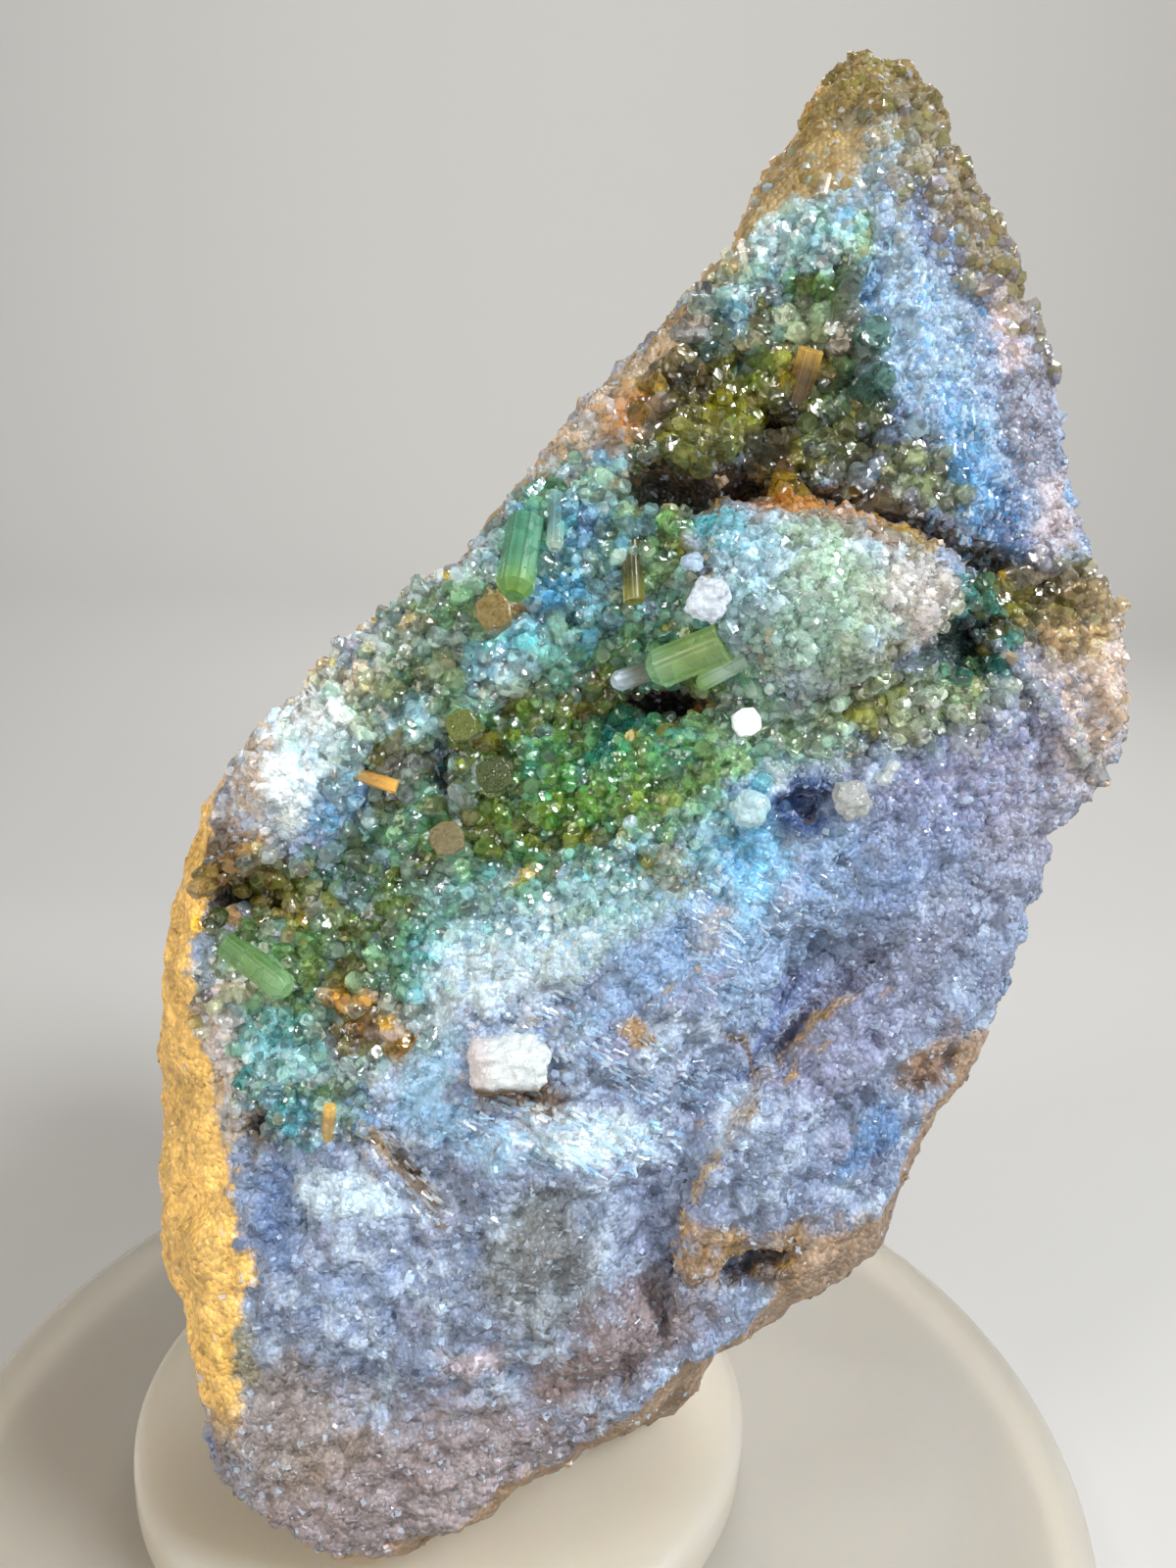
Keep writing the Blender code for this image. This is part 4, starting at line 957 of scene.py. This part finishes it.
def model_grain(name):
    """One rounded sugary grain of width 1."""
    deselect()
    bpy.ops.mesh.primitive_ico_sphere_add(subdivisions=1, radius=0.5)
    grain = bpy.context.active_object
    grain.name = name
    bpy.ops.object.mode_set(mode="EDIT")
    bpy.ops.transform.resize(value=(1.0, 0.8, 0.9))
    bpy.ops.object.mode_set(mode="OBJECT")
    return grain


def model_cube(name):
    """One small cleaved grain of width 1, its top a little narrower."""
    deselect()
    bpy.ops.mesh.primitive_cube_add(size=1.0)
    grain = bpy.context.active_object
    grain.name = name
    select_faces(grain, lambda face: face.normal.z > 0.9)
    bpy.ops.transform.resize(value=(0.7, 0.85, 1))
    bpy.ops.object.mode_set(mode="OBJECT")
    return grain


def mixed_colours(palette, count, chance, spread=0.22):
    """For each of many pieces, a mix of two colours of the palette, lighter or darker."""
    palette = np.array(palette)
    first = palette[chance.integers(len(palette), size=count)]
    second = palette[chance.integers(len(palette), size=count)]
    share = chance.random(count)[:, None] * 0.5
    return (first * (1 - share) + second * share) * np.exp(chance.normal(0, spread, count))[:, None]


class SPECIMEN_OT_small_crystals(bpy.types.Operator):
    """Covers each crust with its small intergrown crystals"""

    bl_idname = "specimen.small_crystals"
    bl_label = "Small crystals"

    def execute(self, context):
        rock = bpy.data.objects["matrix_rock_surface"]
        chance = np.random.default_rng(context.scene.specimen_crystals.seed)
        patterns = (
            model_prism("small prism", 4, 0.0, 0.3, 0.45),
            model_prism("pointed prism", 4, 0.13, 0.24, 0.5),
            model_prism("blunt prism", 4, 0.15, 0.08, 0.86),
        )
        for crust in dict.fromkeys(field[0] for field in CRYSTAL_FIELDS):
            grown = []
            for owner, oval, count, width, palette in CRYSTAL_FIELDS:
                if owner != crust:
                    continue
                place, normal = skin_points(
                    rock,
                    lambda at, facing: oval_mask(at[:, 0], at[:, 2], oval, 0.25)
                    * (facing[:, 1] < -0.1)
                    * (1.001 - in_hole(at[:, 0], at[:, 2]))
                    * (1.001 - on_pale_block(at[:, 0], at[:, 2], 0)),
                    int(1.45 * count),
                    chance,
                )
                grown.append(self.grow(place, normal, width, palette, chance))
            parts = [np.concatenate(part) for part in zip(*grown)]
            large = parts[2][:, 0] > 0.75 * MM
            kind = np.where(large, 1 + (chance.random(len(large)) < 0.6), 0)
            pieces = [
                join_copies(f"{crust}_crystals", pattern, *(part[kind == i] for part in parts), foot_shade=0.66)
                for i, pattern in enumerate(patterns)
            ]
            pick(pieces[0])
            for piece in pieces[1:]:
                piece.select_set(True)
            bpy.ops.object.join()
            hand_over(pieces[0], "root", finish_of("Small crystals"), "green_crystal", crust)
        for pattern in patterns:
            bpy.data.objects.remove(pattern)
        return {"FINISHED"}

    def grow(self, place, normal, width, palette, chance):
        count = len(place)
        large = chance.random(count) < 0.3
        size = width * MM * np.where(large, chance.uniform(0.85, 1.5, count), chance.uniform(0.4, 0.75, count))
        length = size * chance.uniform(0.9, 1.7, count)
        axes = normal + chance.normal(0, np.where(large, 0.6, 0.4)[:, None], (count, 3))
        axes /= np.linalg.norm(axes, axis=1)[:, None]
        start = place - axes * (np.where(large, 0.55, 0.72) * length)[:, None]
        sizes = np.stack([size, size * chance.uniform(0.8, 1.0, count), length], axis=1)
        near = np.array([noise_at(on_face(place), 1.9, 30 + i) for i in range(len(palette))])
        own = 0.6 * np.array(palette)[near.argmax(axis=0)] + 0.4 * mixed_colours(palette, count, chance, 0.3)
        share = np.where(large, 0.42, 0.22)[:, None]
        colours = share * own + (1 - share) * rock_tone(place, normal)
        grey = colours.mean(axis=1)[:, None]
        colours = (grey + 1.3 * (colours - grey)) * np.exp(chance.normal(0.12, 0.2, count))[:, None]
        # Whitened copies, more of them in patches: partly frosted crystals, partly painted glints.
        patch = smooth_step(1.5 * noise_at(on_face(place), 2.4, 12) + 0.1)
        frosted = (~large & (chance.random(count) < 0.05 + 0.4 * patch))[:, None]
        colours = np.where(frosted, 0.4 * colours + 0.5 * np.array(SUGAR), 1.4 * colours)
        return start, turned_bases(axes, chance), sizes, colours


class SPECIMEN_OT_grains(bpy.types.Operator):
    """Covers the rock with its sugary grains, coarse ones in some places and fine ones all over the front"""

    bl_idname = "specimen.grains"
    bl_label = "Sugary grains"

    def execute(self, context):
        rock = bpy.data.objects["matrix_rock_surface"]
        settings = context.scene.specimen_grains
        chance = np.random.default_rng(context.scene.specimen_crystals.seed + 1)
        self.coarse(rock, chance)
        self.block(rock, chance)
        self.fine(rock, settings.count, settings.width, chance)
        self.fibres(rock, chance)
        return {"FINISHED"}

    def coarse(self, rock, chance):
        pattern = model_grain("rounded grain")
        grown = []
        for oval, count, width, palette in GRAIN_FIELDS:
            place, normal = skin_points(
                rock,
                lambda at, facing: oval_mask(at[:, 0], at[:, 2], oval, 0.3)
                * (facing[:, 1] < 0.35)
                * (1 - 0.9 * bare_sides(at[:, 0], at[:, 2], 0)[1]),
                count,
                chance,
            )
            size = width * MM * chance.triangular(0.6, 0.9, 1.5, count)
            axes = chance.normal(size=(count, 3))
            axes /= np.linalg.norm(axes, axis=1)[:, None]
            sizes = size[:, None] * chance.uniform(0.75, 1.1, (count, 3))
            colours = 0.6 * mixed_colours(palette, count, chance, 0.2) + 0.6 * rock_tone(place, normal)
            grown.append((place - normal * (0.1 * size)[:, None], turned_bases(axes, chance), sizes, colours))
        parts = [np.concatenate(part) for part in zip(*grown)]
        piece = join_copies("matrix_coarse_grains", pattern, *parts)
        hand_over(piece, "root", finish_of("Clear grains"), "matrix")
        bpy.data.objects.remove(pattern)

    def block(self, rock, chance):
        pattern = model_prism("clear crystal", 4, 0.0, 0.3, 0.5)
        count, width, palette = BLOCK_CRYSTALS
        place, normal = skin_points(
            rock, lambda at, facing: on_pale_block(at[:, 0], at[:, 2], 0) * (facing[:, 1] < 0.2), count, chance
        )
        size = width * MM * chance.triangular(0.4, 0.7, 1.5, count)
        axes = normal + chance.normal(0, 0.7, (count, 3))
        axes /= np.linalg.norm(axes, axis=1)[:, None]
        sizes = size[:, None] * chance.uniform(0.7, 1.3, (count, 3))
        colours = 0.35 * mixed_colours(palette, count, chance, 0.3) + 0.85 * rock_tone(place, normal)
        start = place - axes * (0.6 * sizes[:, 2])[:, None]
        piece = join_copies(
            "pale_block_crystals", pattern, start, turned_bases(axes, chance), sizes, colours, foot_shade=0.6
        )
        hand_over(piece, "root", finish_of("Clear grains"), "matrix")
        bpy.data.objects.remove(pattern)

    def fine(self, rock, count, width, chance):
        pattern = model_cube("cleaved grain")
        place, normal = skin_points(
            rock,
            lambda at, facing: np.where(facing[:, 1] < -0.2, 1.0, 0.12)
            * (1 - 0.8 * np.maximum.reduce(bare_sides(at[:, 0], at[:, 2], 0))),
            count,
            chance,
        )
        size = width * chance.triangular(0.5, 0.7, 1.3, count)
        axes = normal + chance.normal(0, 0.6, (count, 3))
        axes /= np.linalg.norm(axes, axis=1)[:, None]
        sizes = size[:, None] * chance.uniform(0.6, 1.15, (count, 3))
        colours = rock_tone(place, normal) * np.exp(chance.normal(0.15, 0.25, count))[:, None]
        # About a quarter of the fine grains are whitened: partly frosted sugar, partly painted glints.
        frosted = (chance.random(count) < 0.26)[:, None]
        colours = np.where(frosted, 0.35 * colours + 0.75 * np.array(SUGAR), colours)
        start = place - normal * (0.36 * size)[:, None]
        piece = join_copies("matrix_fine_grains", pattern, start, turned_bases(axes, chance), sizes, colours)
        hand_over(piece, "root", finish_of("Sugar grains"), "matrix")
        bpy.data.objects.remove(pattern)

    def fibres(self, rock, chance):
        pattern = model_cube("fibre")
        grown = []
        for oval, count, width, length, run, palette in FIBRE_FIELDS:
            place, normal = skin_points(
                rock,
                lambda at, facing: oval_mask(at[:, 0], at[:, 2], oval, 0.4) * (facing[:, 1] < -0.4),
                count,
                chance,
            )
            turn = np.radians(run + chance.normal(0, 9, count))
            flat = np.stack([np.cos(turn), np.zeros(count), np.sin(turn)], axis=1) @ FACE_TURN.T
            flat += normal * (chance.normal(0.06, 0.12, count) - np.sum(flat * normal, axis=1))[:, None]
            flat /= np.linalg.norm(flat, axis=1)[:, None]
            size = MM * np.stack([width * chance.uniform(0.6, 1.4, (count,)) for _ in range(3)], axis=1)
            size[:, 2] = length * MM * chance.uniform(0.5, 1.3, count)
            colours = 0.8 * mixed_colours(palette, count, chance, 0.2) + 0.4 * rock_tone(place, normal)
            grown.append((place + normal * (0.1 * width * MM), turned_bases(flat, chance), size, colours))
        piece = join_copies("matrix_fibres", pattern, *(np.concatenate(part) for part in zip(*grown)))
        hand_over(piece, "root", finish_of("Clear grains"), "matrix")
        bpy.data.objects.remove(pattern)


class SPECIMEN_OT_single_crystals(bpy.types.Operator):
    """Models the larger striated prisms and finishes the end-on crystals"""

    bl_idname = "specimen.single_crystals"
    bl_label = "Single crystals"

    def execute(self, context):
        node_tree = BVHTree.FromPolygons(
            [v.co[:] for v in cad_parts["matrix_rock"].data.vertices],
            [p.vertices[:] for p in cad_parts["matrix_rock"].data.polygons],
        )
        for name, root, tip, width, kind, foot_colour, tip_colour in PRISMS:
            start, end = (self.standing_point(node_tree, *place) for place in (root, tip))
            flat = kind == "golden"
            prism = self.striated_prism(f"{name}_striated", start, end, width * MM, flat, foot_colour, tip_colour)
            hand_over(prism, "root", finish_of("Striated crystals"), f"{kind}_crystal", name)
        for name, (colour, slot) in END_FACES.items():
            crystal = copy_of_node(name, f"{name}_face")
            settle(crystal, "BEVEL", width=0.16 * MM, segments=2, limit_method="ANGLE")
            place = on_face(points_of(crystal.data))
            facing = -(normals_of(crystal.data) @ FACE_TURN)[:, 1]
            # Lighter where the faces turn from the front, along the end's rim: a painted highlight.
            rim_highlight = 0.7 + 0.5 * smooth_step(1.4 - facing)
            paint(crystal, np.array(colour) * (rim_highlight * (1 + 0.1 * noise_at(place, 0.5, 11)))[:, None])
            hand_over(crystal, "root", finish_of("Crystal ends"), slot, name)
        return {"FINISHED"}

    def standing_point(self, node_tree, x, z, out):
        """A point that far in front of the rock at x and z, all in mm."""
        start = FACE @ Vector((x, -40.0, z))
        inward = (FACE.to_3x3() @ Vector((0, 1, 0))).normalized()
        place, _, _, _ = node_tree.ray_cast(start, inward)
        return place - inward * out * MM

    def striated_prism(self, name, start, end, width, flat, foot_colour, tip_colour):
        """A prism of eight sides with fine lines along it, sunk a little into the rock at its root."""
        sides, lines = 8, 5
        length = (end - start).length + 1.0 * MM
        along = (end - start).normalized()
        tip = 0.05 * width if flat else 0.26 * width
        cap = 0.9 if flat else 0.55
        prism = model_prism(name, sides, 0.0, tip / length, cap)
        select_faces(prism, lambda face: abs(face.normal.z) < 0.5)
        bpy.ops.mesh.subdivide(number_cuts=lines)
        bpy.ops.object.mode_set(mode="OBJECT")
        chance = np.random.default_rng(len(name))
        # Each line along the prism is sunk by a random depth and painted darker by it: painted shade in the grooves,
        # painted light on the ridges between them.
        line = chance.random(sides * (lines + 1) + 1)
        stripes = np.ones(len(prism.data.vertices))
        for vert in prism.data.vertices:
            turn = math.atan2(vert.co.y, vert.co.x) / (2 * math.pi) % 1.0
            depth = line[int(round(turn * sides * (lines + 1)))]
            stripes[vert.index] = 1.15 - 0.35 * depth
            if vert.co.xy.length > 0.3 and vert.co.z < 1 - tip / length / 2:
                vert.co.xy *= 1 - 0.05 * depth
        share = smooth_step(points_of(prism.data)[:, 2:] * 1.8 - 0.9)
        colours = np.array(foot_colour) * (1 - share) + np.array(tip_colour) * share
        paint(prism, 1.3 * colours * stripes[:, None])
        turn = along.to_track_quat("Z", "Y").to_matrix().to_4x4()
        place = Matrix.Translation(start - along * 1.0 * MM) @ turn @ Matrix.Rotation(math.radians(22.5), 4, "Z")
        prism.data.transform(place @ Matrix.Diagonal((width, width, length, 1)))
        prism.data.update()
        return prism


class SPECIMEN_OT_white_blocks(bpy.types.Operator):
    """Gives the white blocks their broken, sugary surface"""

    bl_idname = "specimen.white_blocks"
    bl_label = "White blocks"

    def execute(self, context):
        for name, colour in BLOCKS.items():
            block = copy_of_node(name, f"{name}_surface")
            settle(block, "REMESH", mode="VOXEL", voxel_size=0.14 * MM)
            displace(block, "CLOUDS", 2.2 * MM, 1.3 * MM)
            displace(block, "CLOUDS", 0.8 * MM, 0.4 * MM)
            displace(block, "CLOUDS", 0.35 * MM, 0.2 * MM)
            place = on_face(points_of(block.data))
            shade = 1 + 0.12 * noise_at(place, 0.6, 9) + 0.1 * noise_at(place, 1.6, 10)
            colours = np.array(colour) * shade[:, None]
            if name == "white_block_low":
                under = smooth_step((37.0 - place[:, 2]) / 0.5 + 0.5)[:, None]
                left = 0.7 * smooth_step((-0.9 - place[:, 0]) / 1.2 + 0.5)[:, None]
                colours = colours * (1 - left) + np.array(PINK_WHITE) * left
                colours = colours * (1 - under) + np.array(BROWN) * under
            paint(block, colours)
            hand_over(block, "root", finish_of("White blocks"), "white_block", name)
        return {"FINISHED"}


class SPECIMEN_OT_discs(bpy.types.Operator):
    """Turns the frosted disc and its riser"""

    bl_idname = "specimen.discs"
    bl_label = "Discs"

    def execute(self, context):
        frosted = self.frosted()
        for name, edge in (("display_disc", 2.5 * MM), ("riser_disc", 1.2 * MM)):
            low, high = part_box(name)
            radius = (high[0] - low[0]) / 2
            middle = [(a + b) / 2 for a, b in zip(low, high)]
            deselect()
            bpy.ops.mesh.primitive_cylinder_add(
                vertices=144, radius=radius, depth=high[2] - low[2], location=middle
            )
            disc = context.active_object
            disc.name = f"{name}_turned"
            bpy.ops.object.transform_apply(location=True, rotation=True, scale=True)
            select_faces(disc, lambda face: abs(face.normal.z) > 0.9)
            bpy.ops.mesh.bevel(offset=edge, segments=8, affect="EDGES")
            bpy.ops.object.mode_set(mode="OBJECT")
            bpy.ops.object.shade_smooth_by_angle(angle=math.radians(30))
            hand_over(disc, "root", frosted, "frosted_disc", name)
        return {"FINISHED"}

    def frosted(self):
        material, tree, shader = new_material("Frosted disc")
        link = tree.links.new
        place = node(tree, "ShaderNodeTexCoord", (-900, 0))
        cloud = node(tree, "ShaderNodeTexNoise", (-700, 0))
        cloud.inputs["Scale"].default_value = 45.0
        shades = node(tree, "ShaderNodeValToRGB", (-480, 100))
        shades.color_ramp.elements[0].color = (*tint(232, 222, 204), 1)
        shades.color_ramp.elements[1].color = (*tint(246, 242, 234), 1)
        fine = node(tree, "ShaderNodeTexNoise", (-700, -260))
        fine.inputs["Scale"].default_value = 4000.0
        bump = node(tree, "ShaderNodeBump", (-300, -260))
        bump.inputs["Strength"].default_value = 0.3
        bump.inputs["Distance"].default_value = 0.03 * MM
        link(place.outputs["Object"], cloud.inputs["Vector"])
        link(place.outputs["Object"], fine.inputs["Vector"])
        link(cloud.outputs["Fac"], shades.inputs["Fac"])
        link(shades.outputs["Color"], shader.inputs["Base Color"])
        link(fine.outputs["Fac"], bump.inputs["Height"])
        link(bump.outputs["Normal"], shader.inputs["Normal"])
        ray = node(tree, "ShaderNodeLightPath", (-480, -500))
        link(span(tree, ray.outputs["Is Shadow Ray"], 1.0, 0.5, (-280, -500)), shader.inputs["Alpha"])
        shader.inputs["Roughness"].default_value = 0.4
        shader.inputs["Transmission Weight"].default_value = 0.6
        shader.inputs["Subsurface Weight"].default_value = 1.0
        shader.inputs["Subsurface Radius"].default_value = (1.0, 0.85, 0.6)
        shader.inputs["Subsurface Scale"].default_value = 6 * MM
        shader.inputs["IOR"].default_value = 1.5
        return material


def area_light(name, place, target, size, power, colour):
    light = bpy.data.lights.new(name, "AREA")
    light.shape = "DISK"
    light.size = size
    light.energy = power
    light.color = colour
    obj = bpy.data.objects.new(name, light)
    bpy.context.collection.objects.link(obj)
    obj.location = place
    obj.rotation_euler = (Vector(target) - Vector(place)).to_track_quat("-Z", "Y").to_euler()


class SPECIMEN_OT_stage(bpy.types.Operator):
    """Adds the floor, the light and the camera"""

    bl_idname = "specimen.stage"
    bl_label = "Stage"

    def execute(self, context):
        settings = context.scene.specimen_stage
        deselect()
        bpy.ops.mesh.primitive_cylinder_add(vertices=96, radius=1.4, depth=1.0, location=(0, 0, 0.5))
        floor = context.active_object
        floor.name = "floor"
        bpy.ops.object.transform_apply(location=True, rotation=True, scale=True)
        select_faces(floor, lambda face: face.normal.z > 0.9)
        bpy.ops.mesh.delete(type="FACE")
        bpy.ops.object.mode_set(mode="OBJECT")
        select_faces(floor, lambda face: face.normal.z < -0.9)
        bpy.ops.mesh.bevel(offset=0.7, segments=12, affect="EDGES")
        bpy.ops.object.mode_set(mode="OBJECT")
        bpy.ops.object.shade_smooth()
        material, _, shader = new_material("Floor")
        shader.inputs["Base Color"].default_value = (*settings.floor_colour, 1)
        shader.inputs["Roughness"].default_value = 0.8
        floor.data.materials.append(material)

        world = bpy.data.worlds.new("Studio")
        context.scene.world = world
        world.use_nodes = True
        world.node_tree.nodes["Background"].inputs["Color"].default_value = (0.86, 0.90, 0.95, 1)
        world.node_tree.nodes["Background"].inputs["Strength"].default_value = 0.17
        middle = (0.0, -0.01, 0.06)
        area_light("key light", (0.27, -0.18, 0.36), middle, 0.13, 2.2, (0.96, 0.98, 1.0))
        area_light("fill light", (-0.36, -0.22, 0.14), middle, 0.25, 0.75, (1.0, 0.86, 0.68))
        area_light("left light", (-0.22, -0.24, 0.36), middle, 0.12, 0.5, (0.94, 0.97, 1.0))
        area_light("front light", (0.12, -0.46, 0.10), middle, 0.10, 0.4, (1.0, 0.98, 0.95))
        area_light("back light", (0.06, 0.36, 0.34), middle, 0.25, 0.6, (1.0, 0.98, 0.95))
        area_light("wall light", (0.0, 0.5, 0.8), (0.0, 1.4, 0.4), 0.8, 7.0, (1.0, 0.99, 0.97))
        context.scene.view_settings.view_transform = "Standard"

        camera = bpy.data.objects.new("camera", bpy.data.cameras.new("camera"))
        context.collection.objects.link(camera)
        camera.data.sensor_fit = "VERTICAL"
        camera.data.sensor_height = 36.0
        camera.data.lens = settings.focal_length
        camera.data.clip_start = 1 * MM
        pitch, roll = math.radians(15), math.radians(2)
        turn = Matrix.Rotation(math.radians(90) - pitch, 4, "X") @ Matrix.Rotation(roll, 4, "Z")
        camera.matrix_world = Matrix.Translation((4.27 * MM, -85.1 * MM, 85.7 * MM)) @ turn
        context.scene.camera = camera
        return {"FINISHED"}


class SPECIMEN_PT_panel(bpy.types.Panel):
    """Shows the specimen's build steps and their settings"""

    bl_label = "Specimen"
    bl_idname = "SPECIMEN_PT_panel"
    bl_space_type = "VIEW_3D"
    bl_region_type = "UI"
    bl_category = "Specimen"

    def draw(self, context):
        for operator in OPERATORS:
            self.layout.operator(operator.bl_idname)
        for settings in SETTINGS:
            group = getattr(context.scene, settings)
            for name in group.__annotations__:
                self.layout.prop(group, name)


OPERATORS = (
    SPECIMEN_OT_matrix_rock,
    SPECIMEN_OT_grains,
    SPECIMEN_OT_small_crystals,
    SPECIMEN_OT_single_crystals,
    SPECIMEN_OT_white_blocks,
    SPECIMEN_OT_discs,
    SPECIMEN_OT_stage,
)
SETTINGS = {
    "specimen_rock": RockSettings,
    "specimen_crystals": CrystalSettings,
    "specimen_grains": GrainSettings,
    "specimen_stage": StageSettings,
}


def register():
    for cls in (*SETTINGS.values(), *OPERATORS, SPECIMEN_PT_panel):
        bpy.utils.register_class(cls)
    for name, cls in SETTINGS.items():
        setattr(bpy.types.Scene, name, bpy.props.PointerProperty(type=cls))


def unregister():
    for name in SETTINGS:
        delattr(bpy.types.Scene, name)
    for cls in reversed((*SETTINGS.values(), *OPERATORS, SPECIMEN_PT_panel)):
        bpy.utils.unregister_class(cls)


def main():
    register()
    bpy.ops.specimen.matrix_rock()
    bpy.ops.specimen.grains()
    bpy.ops.specimen.small_crystals()
    bpy.ops.specimen.single_crystals()
    bpy.ops.specimen.white_blocks()
    bpy.ops.specimen.discs()
    bpy.ops.specimen.stage()


if __name__ == "__main__":
    main()
